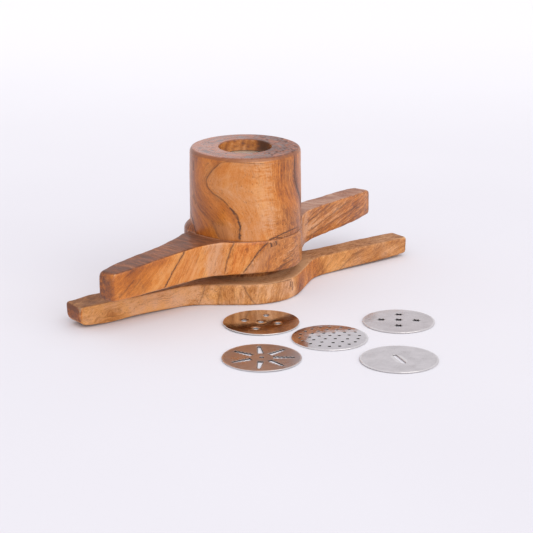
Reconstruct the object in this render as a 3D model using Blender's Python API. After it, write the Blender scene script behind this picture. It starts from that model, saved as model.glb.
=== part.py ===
"""Wooden hand press for dough, standing on its plunger, with interchangeable steel die plates.

The plunger is a bar with an upright ram; the barrel stands over the ram with its outlet up, and
holds one die plate under the outlet's lip. Five more plates lie loose on the table in front.
Metres, +Z up. The origin is on the ram's axis at the table, and +X runs along the plunger's bar.
"""

import math
import random

import bmesh
import bpy

# How finely round shapes are divided
TURN_SEGMENTS = 72
PLATE_SEGMENTS = 64
HOLE_SEGMENTS = 16
FINE_HOLE_SEGMENTS = 10
CORNER_SEGMENTS = 3
ARC_STEPS = 6

# Plunger: a flat bar on the table with the ram standing on its round middle
PLUNGER_HALF_LENGTH = 0.1706
PLUNGER_BODY_RADIUS = 0.0480
PLUNGER_LEAVE_ANGLE = math.radians(53.5)
PLUNGER_FILLET_RADIUS = 0.040
PLUNGER_ROOT_HALF_WIDTH = 0.0112
PLUNGER_TAPER = 0.010
PLUNGER_BOW_START = 0.150
PLUNGER_BOW_RADIUS = 0.300
PLUNGER_THICKNESS = 0.0175
PLUNGER_LIFT_START = 0.125
PLUNGER_TIP_LIFT = 0.0025
RAM_RADIUS = 0.0302
RAM_FOOT_FILLET = 0.008
RAM_END_ROUND = 0.0015

# Barrel: a turned cylinder on a round block that runs out into two handles
BARREL_TURN = math.radians(14.1)
BARREL_HALF_LENGTH = 0.1662
BARREL_BODY_RADIUS = 0.0472
BARREL_LEAVE_ANGLE = math.radians(53.0)
BARREL_FILLET_RADIUS = 0.055
BARREL_ROOT_HALF_WIDTH = 0.0134
BARREL_TAPER = 0.040
BARREL_BOW_START = 0.140
BARREL_BOW_RADIUS = 0.130
BARREL_BASE = 0.0270
BARREL_TIP_BASE = 0.0310
BARREL_BASE_FLAT_END = 0.050
BLOCK_TOP = 0.0536
HANDLE_ROOT_TOP = 0.0556
HANDLE_TIP_TOP = 0.0530
HANDLE_CROWN = 0.0010
HANDLE_RISE_START = 0.034
HANDLE_RISE_END = 0.056
LEFT_HANDLE_EXTRA = 0.0028
LEFT_EXTRA_RUN = (0.095, 0.150)
LEFT_ROOT_FULLNESS = 0.0042
LEFT_ROOT_RISE = (0.040, 0.056)
LEFT_ROOT_FALL = (0.062, 0.106)
CYLINDER_FOOT_RADIUS = 0.0464
CYLINDER_RIM_RADIUS = 0.0459
CYLINDER_TOP = 0.1228
RIM_WIDTH = 0.0033
RIM_HEIGHT = 0.0042
GROOVE_DEPTH = 0.0009
GROOVE_HEIGHT = 0.0009
HUMP_REACH = 0.0320
HUMP_ANGLE = math.radians(137.5)
HUMP_FOOT_RADIUS = 0.0120
HUMP_FOOT = 0.0300
HUMP_RADIUS = 0.0195
HUMP_SIDE_START = 0.0460
HUMP_SIDE_END = 0.0545
HUMP_TOP_RADIUS = 0.0145
HUMP_TOP = 0.0617
BORE_RADIUS = 0.03075
BORE_MOUTH_CHAMFER = 0.0012
OUTLET_RADIUS = 0.0219
LIP_THICKNESS = 0.0096

# Rounding of the bars' long edges and of their tips
EDGE_ROUND = 0.0015
TIP_ROUND = 0.0025
TIP_TOP_ROUND = 0.0040

# Die plates: discs of one nominal size, each with its own openings
FITTED_PLATE_RADIUS = 0.0300
PLATE_THICKNESS = 0.0009
REST_GAP = 0.0003
ROUND_HOLE_RADIUS = 0.00225
ROUND_HOLE_REACH = (0.0138, 0.0168)
STAR_OUTER_RADIUS = 0.0036
STAR_INNER_RADIUS = 0.0023
STAR_POINTS = 6
STAR_CIRCLE = 0.0140
FINE_HOLE_RADIUS = 0.00125
FINE_RING_STEP = 0.0077
FINE_RINGS = 3
FINE_JITTER = 0.0008
FINE_SEED = 7
RIBBON_ANGLES = (0, 46, 95, 147, 206, 265, 311)
RIBBON_START = 0.0088
RIBBON_END = 0.0248
RIBBON_INNER_HALF_WIDTH = 0.0029
RIBBON_OUTER_HALF_WIDTH = 0.0018
RIBBON_TOOTH = 0.0010
RIBBON_TEETH = 5
RIBBON_CENTRE_HOLE = 0.0018
SLOT_HALF_LENGTH = 0.0104
SLOT_HALF_WIDTH = 0.0017

# Each loose plate's radius, as the hand-cut discs differ a little, and its place and turn on the table
FIVE_HOLE_RADIUS = 0.0305
FIVE_HOLE_PLACE = (-0.0454, -0.0827)
FIVE_HOLE_TURN = math.radians(-50.9)
RIBBON_RADIUS = 0.0303
RIBBON_PLACE = (-0.0947, -0.1494)
RIBBON_TURN = math.radians(-36.9)
FINE_RADIUS = 0.0298
FINE_PLACE = (-0.0246, -0.1440)
FINE_TURN = math.radians(-30.0)
STAR_RADIUS = 0.0288
STAR_PLACE = (0.0443, -0.1459)
STAR_TURN = math.radians(-40.9)
SLOT_RADIUS = 0.0298
SLOT_PLACE = (-0.0139, -0.2141)
SLOT_TURN = math.radians(-107.0)

# Colour, roughness and metallic value of each material
BARREL_WOOD = ((0.48, 0.21, 0.07), 0.42, 0.0)
PLUNGER_WOOD = ((0.50, 0.24, 0.09), 0.48, 0.0)
PLATE_STEEL = ((0.66, 0.65, 0.63), 0.25, 1.0)

LIP_UNDERSIDE = CYLINDER_TOP - LIP_THICKNESS
FITTED_PLATE_BASE = LIP_UNDERSIDE - REST_GAP - PLATE_THICKNESS
RAM_END = FITTED_PLATE_BASE - REST_GAP


class BarPlan:
    """Half outline of a handled bar from above, before anything is added to one quarter.

    A round body runs into a straight shoulder, a hollow fillet, and a handle that tapers and
    then bows in to its tip.
    """

    def __init__(self, body_radius, leave_angle, fillet_radius, root_half_width, taper, bow, half_length):
        shoulder = math.pi / 2 - leave_angle
        slope = math.atan(taper)
        self.body_radius = body_radius
        self.leave_angle = leave_angle
        self.fillet_radius = fillet_radius
        self.root_half_width = root_half_width
        self.taper = taper
        self.bow_start, self.bow_radius = bow
        self.half_length = half_length
        self.shoulder_drop = math.tan(shoulder)
        self.leave_x = body_radius * math.cos(leave_angle)
        self.leave_y = body_radius * math.sin(leave_angle)
        fillet_y = root_half_width + fillet_radius * (math.cos(slope) - math.cos(shoulder))
        self.fillet_x = self.leave_x + (self.leave_y - fillet_y) / self.shoulder_drop
        self.root_x = self.fillet_x + fillet_radius * (math.sin(shoulder) - math.sin(slope))
        self.centre_x = self.root_x + fillet_radius * math.sin(slope)
        self.centre_y = root_half_width + fillet_radius * math.cos(slope)

    def half_width(self, x):
        x = abs(x)
        if x <= self.leave_x:
            return math.sqrt(self.body_radius**2 - x**2)
        if x <= self.fillet_x:
            return self.leave_y - (x - self.leave_x) * self.shoulder_drop
        if x <= self.root_x:
            return self.centre_y - math.sqrt(self.fillet_radius**2 - (x - self.centre_x) ** 2)
        bow = max(x - self.bow_start, 0.0) ** 2 / (2 * self.bow_radius)
        return self.root_half_width - self.taper * (x - self.root_x) - bow

    def stations(self):
        """Distances from the middle where the bar is cut across, closer where it bends."""
        turn = math.pi / 2 - self.leave_angle
        body = [self.body_radius * math.sin(turn * i / ARC_STEPS) for i in range(ARC_STEPS + 1)]
        shoulder = spread(self.leave_x, self.fillet_x, ARC_STEPS // 2)
        fillet = spread(self.fillet_x, self.root_x, ARC_STEPS)
        handle = spread(self.root_x, self.bow_start, ARC_STEPS)
        bow = spread(self.bow_start, self.half_length - TIP_TOP_ROUND, ARC_STEPS // 2)
        tip_turn = math.pi / 2 / ARC_STEPS
        tip_base = self.half_length - TIP_TOP_ROUND
        tip = [tip_base + TIP_TOP_ROUND * math.sin(tip_turn * i) for i in range(1, ARC_STEPS + 1)]
        side = body[1:] + shoulder + fillet + handle + bow + tip
        return [-x for x in reversed(side)] + [0.0] + side


def spread(start, end, steps):
    """Evenly spaced values after start, up to and including end."""
    return [start + (end - start) * i / steps for i in range(1, steps + 1)]


def ease(value, start, end):
    """0 before start, 1 after end, and a smooth step between."""
    t = min(max((value - start) / (end - start), 0.0), 1.0)
    return t * t * (3 - 2 * t)


def arc(centre, radii, start, end, steps):
    """Points of an elliptical arc, both ends included; angles in radians."""
    turns = [start + (end - start) * i / steps for i in range(steps + 1)]
    return [(centre[0] + radii[0] * math.cos(t), centre[1] + radii[1] * math.sin(t)) for t in turns]


def circle(centre, radius, steps):
    return arc(centre, (radius, radius), 0.0, 2 * math.pi, steps)[:-1]


def tip_inset(x, half_length, radius):
    """How far the surface has turned in at x, where a tip is rounded with this radius."""
    into = max(abs(x) - (half_length - radius), 0.0)
    return radius - math.sqrt(max(radius**2 - into**2, 0.0))


def section(half_width, low, high, back_extra=0.0):
    """Rounded rectangle across a bar, as (y, z) points in order, wider at the back by the extra."""
    side = half_width - EDGE_ROUND
    back = side + back_extra
    corners = (
        (back, high - EDGE_ROUND),
        (-side, high - EDGE_ROUND),
        (-side, low + EDGE_ROUND),
        (back, low + EDGE_ROUND),
    )
    points = []
    for i, corner in enumerate(corners):
        start = math.pi / 2 * i
        points += arc(corner, (EDGE_ROUND, EDGE_ROUND), start, start + math.pi / 2, CORNER_SEGMENTS)
    return points


def make_material(name, look):
    colour, roughness, metallic = look
    made = bpy.data.materials.new(name)
    made.use_nodes = True
    shader = made.node_tree.nodes["Principled BSDF"]
    shader.inputs["Base Color"].default_value = (*colour, 1.0)
    shader.inputs["Roughness"].default_value = roughness
    shader.inputs["Metallic"].default_value = metallic
    made.diffuse_color = (*colour, 1.0)
    return made


def add_object(name, data):
    made = bpy.data.objects.new(name, data)
    bpy.context.scene.collection.objects.link(made)
    return made


def add_mesh(name, mesh_builder):
    """A smooth-shaded mesh object whose faces all point out."""
    bmesh.ops.recalc_face_normals(mesh_builder, faces=mesh_builder.faces)
    mesh = bpy.data.meshes.new(name)
    mesh_builder.to_mesh(mesh)
    mesh_builder.free()
    mesh.shade_smooth()
    mesh.set_sharp_from_angle(angle=math.radians(35))
    return add_object(name, mesh)


def loft(name, stations, places, section_at):
    """A closed bar through the cross-sections of these stations, each put at its own place along X."""
    builder = bmesh.new()
    rings = []
    for station, x in zip(stations, places):
        rings.append([builder.verts.new((x, y, z)) for y, z in section_at(station)])
    for near, far in zip(rings, rings[1:]):
        for i in range(len(near)):
            builder.faces.new((near[i - 1], near[i], far[i], far[i - 1]))
    builder.faces.new(rings[0])
    builder.faces.new(reversed(rings[-1]))
    return add_mesh(name, builder)


def turned(name, profile):
    """A solid of revolution about Z from (radius, height) points, the first and last on the axis."""
    builder = bmesh.new()
    line = [builder.verts.new((radius, 0.0, height)) for radius, height in profile]
    edges = [builder.edges.new(pair) for pair in zip(line, line[1:])]
    bmesh.ops.spin(
        builder,
        geom=line + edges,
        cent=(0.0, 0.0, 0.0),
        axis=(0.0, 0.0, 1.0),
        angle=2 * math.pi,
        steps=TURN_SEGMENTS,
        use_merge=True,
    )
    bmesh.ops.remove_doubles(builder, verts=builder.verts, dist=1e-6)
    return add_mesh(name, builder)


def helper(tool, owner):
    """Hide a shape that only takes part in another object's Booleans, and fix it to that object."""
    tool.hide_render = True
    tool.display_type = "WIRE"
    tool.parent = owner


def combine(owner, operation, tool):
    change = owner.modifiers.new(tool.name, "BOOLEAN")
    change.operation = operation
    change.solver = "EXACT"
    change.object = tool
    helper(tool, owner)


def make_plunger(wood):
    plan = BarPlan(
        PLUNGER_BODY_RADIUS,
        PLUNGER_LEAVE_ANGLE,
        PLUNGER_FILLET_RADIUS,
        PLUNGER_ROOT_HALF_WIDTH,
        PLUNGER_TAPER,
        (PLUNGER_BOW_START, PLUNGER_BOW_RADIUS),
        PLUNGER_HALF_LENGTH,
    )

    def section_at(x):
        run = max(abs(x) - PLUNGER_LIFT_START, 0.0) / (PLUNGER_HALF_LENGTH - PLUNGER_LIFT_START)
        top_inset = tip_inset(x, PLUNGER_HALF_LENGTH, TIP_ROUND)
        low_inset = tip_inset(x, PLUNGER_HALF_LENGTH, TIP_TOP_ROUND)
        low = PLUNGER_TIP_LIFT * run**2 + low_inset
        return section(plan.half_width(x) - top_inset, low, PLUNGER_THICKNESS - top_inset)

    plunger = loft("plunger", plan.stations(), plan.stations(), section_at)
    foot = (RAM_RADIUS + RAM_FOOT_FILLET, PLUNGER_THICKNESS + RAM_FOOT_FILLET)
    end = (RAM_RADIUS - RAM_END_ROUND, RAM_END - RAM_END_ROUND)
    profile = [(0.0, PLUNGER_THICKNESS / 2), (foot[0], PLUNGER_THICKNESS / 2)]
    profile += arc(foot, (RAM_FOOT_FILLET, RAM_FOOT_FILLET), -math.pi / 2, -math.pi, ARC_STEPS)
    profile += arc(end, (RAM_END_ROUND, RAM_END_ROUND), 0.0, math.pi / 2, CORNER_SEGMENTS)
    profile += [(0.0, RAM_END)]
    combine(plunger, "UNION", turned("ram_shape", profile))
    plunger.data.materials.append(wood)
    return plunger


def barrel_low(x):
    """Height of the block's and handles' underside."""
    run = max(abs(x) - BARREL_BASE_FLAT_END, 0.0) / (BARREL_HALF_LENGTH - BARREL_BASE_FLAT_END)
    return BARREL_BASE + (BARREL_TIP_BASE - BARREL_BASE) * run


def barrel_high(x):
    """Height of the block's top at the groove, rising onto the handles and falling to their tips."""
    rise = ease(abs(x), HANDLE_RISE_START, HANDLE_RISE_END)
    run = max(abs(x) - HANDLE_RISE_END, 0.0) / (BARREL_HALF_LENGTH - HANDLE_RISE_END)
    root = BLOCK_TOP + (HANDLE_ROOT_TOP - BLOCK_TOP) * rise
    return root - (HANDLE_ROOT_TOP - HANDLE_TIP_TOP) * run + HANDLE_CROWN * 4 * run * (1 - run)


def make_barrel(wood):
    plan = BarPlan(
        BARREL_BODY_RADIUS,
        BARREL_LEAVE_ANGLE,
        BARREL_FILLET_RADIUS,
        BARREL_ROOT_HALF_WIDTH,
        BARREL_TAPER,
        (BARREL_BOW_START, BARREL_BOW_RADIUS),
        BARREL_HALF_LENGTH,
    )

    def section_at(x):
        inset = tip_inset(x, BARREL_HALF_LENGTH, TIP_ROUND)
        top_inset = tip_inset(x, BARREL_HALF_LENGTH, TIP_TOP_ROUND)
        fullness = LEFT_ROOT_FULLNESS * ease(-x, *LEFT_ROOT_RISE) * (1 - ease(-x, *LEFT_ROOT_FALL))
        high = barrel_high(x) - top_inset
        return section(plan.half_width(x) - inset, barrel_low(x) + inset, high, fullness)

    stations = plan.stations()
    places = [x - LEFT_HANDLE_EXTRA * ease(-x, *LEFT_EXTRA_RUN) for x in stations]
    barrel = loft("barrel", stations, places, section_at)
    barrel.rotation_euler.z = BARREL_TURN
    combine(barrel, "UNION", make_hump())
    combine(barrel, "UNION", make_cylinder())
    combine(barrel, "DIFFERENCE", make_bore())
    barrel.data.materials.append(wood)
    return barrel


def make_hump():
    """The hump of wood left standing behind the left handle's root, against the cylinder."""
    profile = [(0.0, HUMP_FOOT), (HUMP_FOOT_RADIUS, HUMP_FOOT), (HUMP_RADIUS, HUMP_SIDE_START)]
    for i in range(ARC_STEPS + 1):
        rise = i / ARC_STEPS
        height = HUMP_SIDE_END + (HUMP_TOP - HUMP_SIDE_END) * rise
        profile.append((HUMP_RADIUS - (HUMP_RADIUS - HUMP_TOP_RADIUS) * rise**2, height))
    profile += [(0.0, HUMP_TOP)]
    hump = turned("hump_shape", profile)
    hump.location = (HUMP_REACH * math.cos(HUMP_ANGLE), HUMP_REACH * math.sin(HUMP_ANGLE), 0.0)
    return hump


def make_cylinder():
    """The turned wall above the block, with a scored groove at its foot and a rounded rim."""
    scored = CYLINDER_FOOT_RADIUS - GROOVE_DEPTH
    groove_top = BLOCK_TOP + GROOVE_HEIGHT
    rim = (CYLINDER_RIM_RADIUS - RIM_WIDTH, CYLINDER_TOP - RIM_HEIGHT)
    profile = [(0.0, BARREL_BASE + LIP_THICKNESS), (scored, BARREL_BASE + LIP_THICKNESS)]
    profile += [(scored, BLOCK_TOP), (CYLINDER_FOOT_RADIUS, groove_top)]
    profile += arc(rim, (RIM_WIDTH, RIM_HEIGHT), 0.0, math.pi / 2, ARC_STEPS)
    profile += [(0.0, CYLINDER_TOP)]
    return turned("cylinder_shape", profile)


def make_bore():
    """The chamber for the ram, open below, and the narrower outlet through the lip above it."""
    below = BARREL_BASE - LIP_THICKNESS
    mouth = BORE_RADIUS + BORE_MOUTH_CHAMFER
    profile = [(0.0, below), (mouth, below), (mouth, BARREL_BASE)]
    profile += [(BORE_RADIUS, BARREL_BASE + BORE_MOUTH_CHAMFER), (BORE_RADIUS, LIP_UNDERSIDE)]
    profile += [(OUTLET_RADIUS, LIP_UNDERSIDE), (OUTLET_RADIUS, CYLINDER_TOP + LIP_THICKNESS)]
    profile += [(0.0, CYLINDER_TOP + LIP_THICKNESS)]
    return turned("bore_shape", profile)


def star(centre):
    points = []
    for i in range(2 * STAR_POINTS):
        radius = STAR_INNER_RADIUS if i % 2 else STAR_OUTER_RADIUS
        angle = math.pi * i / STAR_POINTS
        points.append((centre[0] + radius * math.cos(angle), centre[1] + radius * math.sin(angle)))
    return points


def ring_places(radius, count):
    turns = [2 * math.pi * i / count for i in range(count)]
    return [(radius * math.cos(t), radius * math.sin(t)) for t in turns]


def five_hole_openings():
    """A hole in the middle and four in a cross, which reaches further one way than the other."""
    reach_x, reach_y = ROUND_HOLE_REACH
    places = [(0.0, 0.0), (reach_x, 0.0), (0.0, reach_y), (-reach_x, 0.0), (0.0, -reach_y)]
    return [circle(place, ROUND_HOLE_RADIUS, HOLE_SEGMENTS) for place in places]


def star_openings():
    return [star(place) for place in [(0.0, 0.0)] + ring_places(STAR_CIRCLE, 4)]


def fine_openings():
    """Small holes in rings, punched by hand and so a little out of place."""
    hand = random.Random(FINE_SEED)
    openings = [circle((0.0, 0.0), FINE_HOLE_RADIUS, FINE_HOLE_SEGMENTS)]
    for ring in range(1, FINE_RINGS + 1):
        for x, y in ring_places(FINE_RING_STEP * ring, 6 * ring):
            x += hand.uniform(-FINE_JITTER, FINE_JITTER)
            y += hand.uniform(-FINE_JITTER, FINE_JITTER)
            openings.append(circle((x, y), FINE_HOLE_RADIUS, FINE_HOLE_SEGMENTS))
    return openings


def ribbon_openings():
    """Radial slots with saw-toothed sides, narrower outwards, round a small centre hole."""
    pitch = (RIBBON_END - RIBBON_START) / (2 * RIBBON_TEETH)
    side = []
    for i in range(2 * RIBBON_TEETH + 1):
        tooth = RIBBON_TOOTH if i % 2 else 0.0
        narrowed = (RIBBON_INNER_HALF_WIDTH - RIBBON_OUTER_HALF_WIDTH) * i / (2 * RIBBON_TEETH)
        side.append((RIBBON_START + pitch * i, RIBBON_INNER_HALF_WIDTH - narrowed - tooth))
    slot = side + [(x, -y) for x, y in reversed(side)]
    openings = [circle((0.0, 0.0), RIBBON_CENTRE_HOLE, HOLE_SEGMENTS)]
    for degrees in RIBBON_ANGLES:
        c, s = math.cos(math.radians(degrees)), math.sin(math.radians(degrees))
        openings.append([(c * x - s * y, s * x + c * y) for x, y in slot])
    return openings


def slot_openings():
    straight = SLOT_HALF_LENGTH - SLOT_HALF_WIDTH
    radii = (SLOT_HALF_WIDTH, SLOT_HALF_WIDTH)
    right = arc((straight, 0.0), radii, -math.pi / 2, math.pi / 2, ARC_STEPS)
    left = arc((-straight, 0.0), radii, math.pi / 2, 3 * math.pi / 2, ARC_STEPS)
    return [right + left]


def make_plate(name, radius, openings, place, turn, base=0.0):
    """A flat disc of sheet steel with these openings cut through it."""
    sheet = bpy.data.curves.new(name, "CURVE")
    sheet.dimensions = "2D"
    sheet.fill_mode = "BOTH"
    sheet.extrude = PLATE_THICKNESS / 2
    for outline in [circle((0.0, 0.0), radius, PLATE_SEGMENTS)] + openings:
        spline = sheet.splines.new("POLY")
        spline.points.add(len(outline) - 1)
        for point, (x, y) in zip(spline.points, outline):
            point.co = (x, y, 0.0, 1.0)
        spline.use_cyclic_u = True
    plate = add_object(name, sheet)
    plate.location = (*place, base + PLATE_THICKNESS / 2)
    plate.rotation_euler.z = turn
    plate.data.materials.append(make_material(name + "_steel", PLATE_STEEL))
    return plate


def main():
    for old in list(bpy.data.objects):
        bpy.data.objects.remove(old, do_unlink=True)
    make_plunger(make_material("plunger_wood", PLUNGER_WOOD))
    make_barrel(make_material("barrel_wood", BARREL_WOOD))
    make_plate("five_hole_plate", FIVE_HOLE_RADIUS, five_hole_openings(), FIVE_HOLE_PLACE, FIVE_HOLE_TURN)
    make_plate("ribbon_plate", RIBBON_RADIUS, ribbon_openings(), RIBBON_PLACE, RIBBON_TURN)
    make_plate("fine_hole_plate", FINE_RADIUS, fine_openings(), FINE_PLACE, FINE_TURN)
    make_plate("star_hole_plate", STAR_RADIUS, star_openings(), STAR_PLACE, STAR_TURN)
    make_plate("single_slot_plate", SLOT_RADIUS, slot_openings(), SLOT_PLACE, SLOT_TURN)
    axis = (0.0, 0.0)
    make_plate("fitted_plate", FITTED_PLATE_RADIUS, [star(axis)], axis, BARREL_TURN, FITTED_PLATE_BASE)


main()
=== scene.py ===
"""Looks of a wooden hand press for dough and its steel die plates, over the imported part.

Lengths are in metres unless a name or a comment says millimetres. Each wooden piece is built in its
own frame, with X along its handles and Z along the ram, and carries the run of its grain as mesh
attributes in millimetres.
"""

import math
import random

import bmesh
import bpy
import numpy as np
from mathutils import Matrix, Vector
from mathutils.geometry import delaunay_2d_cdt


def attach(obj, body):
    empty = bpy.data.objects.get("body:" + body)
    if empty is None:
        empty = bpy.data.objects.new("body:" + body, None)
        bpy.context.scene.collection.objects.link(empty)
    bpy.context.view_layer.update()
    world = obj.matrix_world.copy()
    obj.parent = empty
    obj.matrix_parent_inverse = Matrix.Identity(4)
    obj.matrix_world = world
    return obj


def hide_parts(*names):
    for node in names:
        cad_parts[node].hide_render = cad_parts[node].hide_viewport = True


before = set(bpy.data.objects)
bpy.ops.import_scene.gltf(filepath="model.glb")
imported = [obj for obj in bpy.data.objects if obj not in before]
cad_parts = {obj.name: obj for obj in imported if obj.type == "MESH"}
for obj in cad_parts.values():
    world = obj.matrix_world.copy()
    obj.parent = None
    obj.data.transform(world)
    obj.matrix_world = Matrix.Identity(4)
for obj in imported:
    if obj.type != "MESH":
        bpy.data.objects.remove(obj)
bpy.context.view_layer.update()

MM = 0.001
IN_MM = (1000.0, 1000.0, 1000.0)

# Outlines of the two bars from above: round body, shoulder, hollow fillet and bowed handle
PLUNGER_OUTLINE = {
    "half_length": 0.1706,
    "body_radius": 0.0480,
    "leave_angle": math.radians(53.5),
    "fillet_radius": 0.040,
    "root_half_width": 0.0112,
    "taper": 0.010,
    "bow_start": 0.150,
    "bow_radius": 0.300,
}
BARREL_OUTLINE = {
    "half_length": 0.1662,
    "body_radius": 0.0472,
    "leave_angle": math.radians(53.0),
    "fillet_radius": 0.055,
    "root_half_width": 0.0134,
    "taper": 0.040,
    "bow_start": 0.140,
    "bow_radius": 0.130,
}
EDGE_ROUND = 0.0017
TIP_ROUND = 0.0028
TIP_SIDE_ROUND = 0.0014
TIP_TOP_ROUND = 0.0042

# Plunger bar and ram, with the roundings of its tips as (left, right)
PLUNGER_HALF_LENGTH = PLUNGER_OUTLINE["half_length"]
PLUNGER_THICKNESS = 0.0175
PLUNGER_LIFT_START = 0.125
PLUNGER_TIP_LIFT = 0.0025
PLUNGER_LOW_ROUNDS = (0.0065, 0.0020)
PLUNGER_TOP_ROUNDS = (0.0012, 0.0020)
PLUNGER_LEFT_CUT = 0.0019
ARM_UNDERSIDE_LIFT = 0.0012
ARM_BACK_FULLNESS = 0.0024
ARM_BACK_RISE = 0.0011
RAM_RADIUS = 0.0302
RAM_FOOT_FILLET = 0.008
RAM_END_ROUND = 0.0015

# Barrel: block, handles, cylinder, boss and bore
BARREL_TURN = math.radians(14.1)
BARREL_HALF_LENGTH = BARREL_OUTLINE["half_length"]
BARREL_LEFT_EXTRA = 0.0028
BARREL_BASE = 0.0270
BARREL_TIP_BASE = 0.0310
BARREL_BASE_FLAT_END = 0.050
BLOCK_TOP = 0.0536
BLOCK_SAG = 0.0016
HANDLE_ROOT_TOP = 0.0556
HANDLE_TIP_TOP = 0.0530
HANDLE_CROWN = 0.0010
HANDLE_RISE_START = 0.034
HANDLE_RISE_END = 0.056
ROOT_BACK_FULLNESS = 0.0042
RIGHT_TOP_TILT = 0.0018
RIGHT_TOP_WIDTH = 0.026
CHIP_PLACE = (-0.1688, -0.0068, 0.0515)
CHIP_DEPTH = 0.0009
CHIP_REACH = 0.0026
CYLINDER_FOOT_RADIUS = 0.0464
CYLINDER_RIM_RADIUS = 0.0459
CYLINDER_TOP = 0.1228
TOP_UNEVENNESS = 0.00012
TOP_BUMP_LENGTH = 0.05
PIT_DEPTH = 0.0008
RIM_WIDTH = 0.0033
RIM_HEIGHT = 0.0042
RIM_RIDGE = 0.00022
RIM_RIDGE_DROP = 0.0054
RIM_RIDGE_WIDTH = 0.0005
GROOVE_DEPTH = 0.0005
GROOVE_HEIGHT = 0.0006
GROOVE_EASE = 0.0003
GROOVE_LIP = 0.0002
BOSS_REACH = 0.0320
BOSS_ANGLE = math.radians(137.5)
BOSS_FOOT_RADIUS = 0.0120
BOSS_FOOT = 0.0300
BOSS_FLARE = 0.0460
BOSS_RADIUS = 0.0195
BOSS_HUMP_START = 0.0545
BOSS_TOP_RADIUS = 0.0145
BOSS_TOP = 0.0617
BOSS_HUMP = 2.0
BORE_RADIUS = 0.03075
BORE_MOUTH_CHAMFER = 0.0012
OUTLET_RADIUS = 0.0219
OUTLET_ROUND = 0.0010
OUTLET_STRETCH = 1.13
LIP_THICKNESS = 0.0096
LIP_UNDERSIDE = CYLINDER_TOP - LIP_THICKNESS

# Unevenness of hand-cut and of turned wood, as (height, length) of its bumps
CUT_BUMPS = ((0.00022, 0.050), (0.00010, 0.014))
TURNED_BUMPS = ((0.00016, 0.045), (0.00005, 0.009))

# Where the forms worn or carved into the bars begin, are full, and where they start to fade and end:
# along the handles, or in depth from the front or in height where the name says so
LEFT_EXTRA_RUN = (0.095, 0.150)
ROOT_FULLNESS_RUN = (0.040, 0.056, 0.062, 0.106)
ROOT_FULLNESS_DEPTH = (0.003, 0.013)
TILT_RUN = (0.045, 0.075, 0.100, 0.160)
TILT_HEIGHT = (BARREL_BASE + 0.008, HANDLE_ROOT_TOP)
SAG_RUN = (-0.030, 0.010, 0.040, 0.075)
SAG_DEPTH = (-0.030, 0.0)
SAG_HEIGHT = (BARREL_BASE, BARREL_BASE + 0.016)
PLUNGER_CUT_HEIGHT = (0.0005, 0.004)
ARM_BACK_RUN = (0.075, 0.115)
ARM_BACK_FADE = (0.145, 0.170)
ARM_BACK_DEPTH = (-0.002, 0.009)
ARM_BACK_HEIGHT = (0.006, 0.016)
ARM_LIFT_RUN = (0.062, 0.110)
ARM_LIFT_RIGHT_FADE = (0.145, 0.168)
ARM_LIFT_LEFT_FADE = (0.118, 0.148)
ARM_LIFT_HEIGHT = (0.003, 0.014)
LEFT_CUT_RUN = (0.100, 0.165)

# Where the cylinder's turning marks begin and are full, and its ridge's bearings in degrees
TURNED_RADIUS = (0.030, 0.040)
TURNED_HEIGHT = (BLOCK_TOP, BLOCK_TOP + 0.006)
RIDGE_BEARINGS = (-25, 5, 30, 50)

# Die plates
PLATE_THICKNESS = 0.0009
PLATE_EDGE = 0.00016
REST_GAP = 0.0003
FITTED_PLATE_RADIUS = 0.0300
FITTED_PLATE_BASE = LIP_UNDERSIDE - REST_GAP - PLATE_THICKNESS
RAM_END = FITTED_PLATE_BASE - REST_GAP
ROUND_HOLE_RADIUS = 0.00225
ROUND_HOLE_REACH = (0.0138, 0.0168)
STAR_OUTER_RADIUS = 0.0036
STAR_INNER_RADIUS = 0.0023
STAR_POINTS = 6
STAR_CIRCLE = 0.0140
FINE_HOLE_RADIUS = 0.00125
FINE_RING_STEP = 0.0077
FINE_RINGS = 3
FINE_JITTER = 0.0008
FINE_SEED = 7
RIBBON_ANGLES = (0, 46, 95, 147, 206, 265, 311)
RIBBON_START = 0.0088
RIBBON_END = 0.0248
RIBBON_INNER_HALF_WIDTH = 0.0029
RIBBON_OUTER_HALF_WIDTH = 0.0018
RIBBON_TOOTH = 0.0010
RIBBON_TEETH = 5
RIBBON_CENTRE_HOLE = 0.0018
SLOT_HALF_LENGTH = 0.0104
SLOT_HALF_WIDTH = 0.00170

# Stage
FLOOR_INNER_RADIUS = 0.3
FLOOR_RADIUS = 6.0
FLOOR_DROP = 0.0002
LIGHT_PLACE = (-0.03, -0.82, 0.57)
CAMERA_PLACE = (-0.8900, -1.2147, 0.4781)
CAMERA_WAY = (0.5743, 0.7649, -0.2918)
CAMERA_LENS_MM = 126.42
CAMERA_SENSOR_MM = 36.0

# How finely the shapes are divided
VOXEL = 0.0009
SOFTENING_ROUNDS = 5
CYLINDER_SEGMENTS = 288
BORE_SEGMENTS = 192
BOSS_SEGMENTS = 96
RAM_SEGMENTS = 160
DISC_SEGMENTS = 180
FLOOR_SEGMENTS = 64
FLOOR_RINGS = 14
PROFILE_STEP = 0.0009
BORE_STEP = 0.002
RAM_STEP = 0.0016
SHEET_STEP = 0.0011
DIMPLE_RINGS = (0.0005, 0.0011, 0.0018)
DIMPLE_WIDTH = 0.0013
SPOT_RIM_GAP = 0.0009
SPOT_CUT_GAP = 0.0004
RING_RIM_GAP = 0.0006
RING_CUT_GAP = 0.0003

# The way from the barrel's axis to the photograph's camera, in the barrel's own frame
FRONT_BEARING = -141.0
FRONT = (math.cos(math.radians(FRONT_BEARING)), math.sin(math.radians(FRONT_BEARING)))

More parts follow.
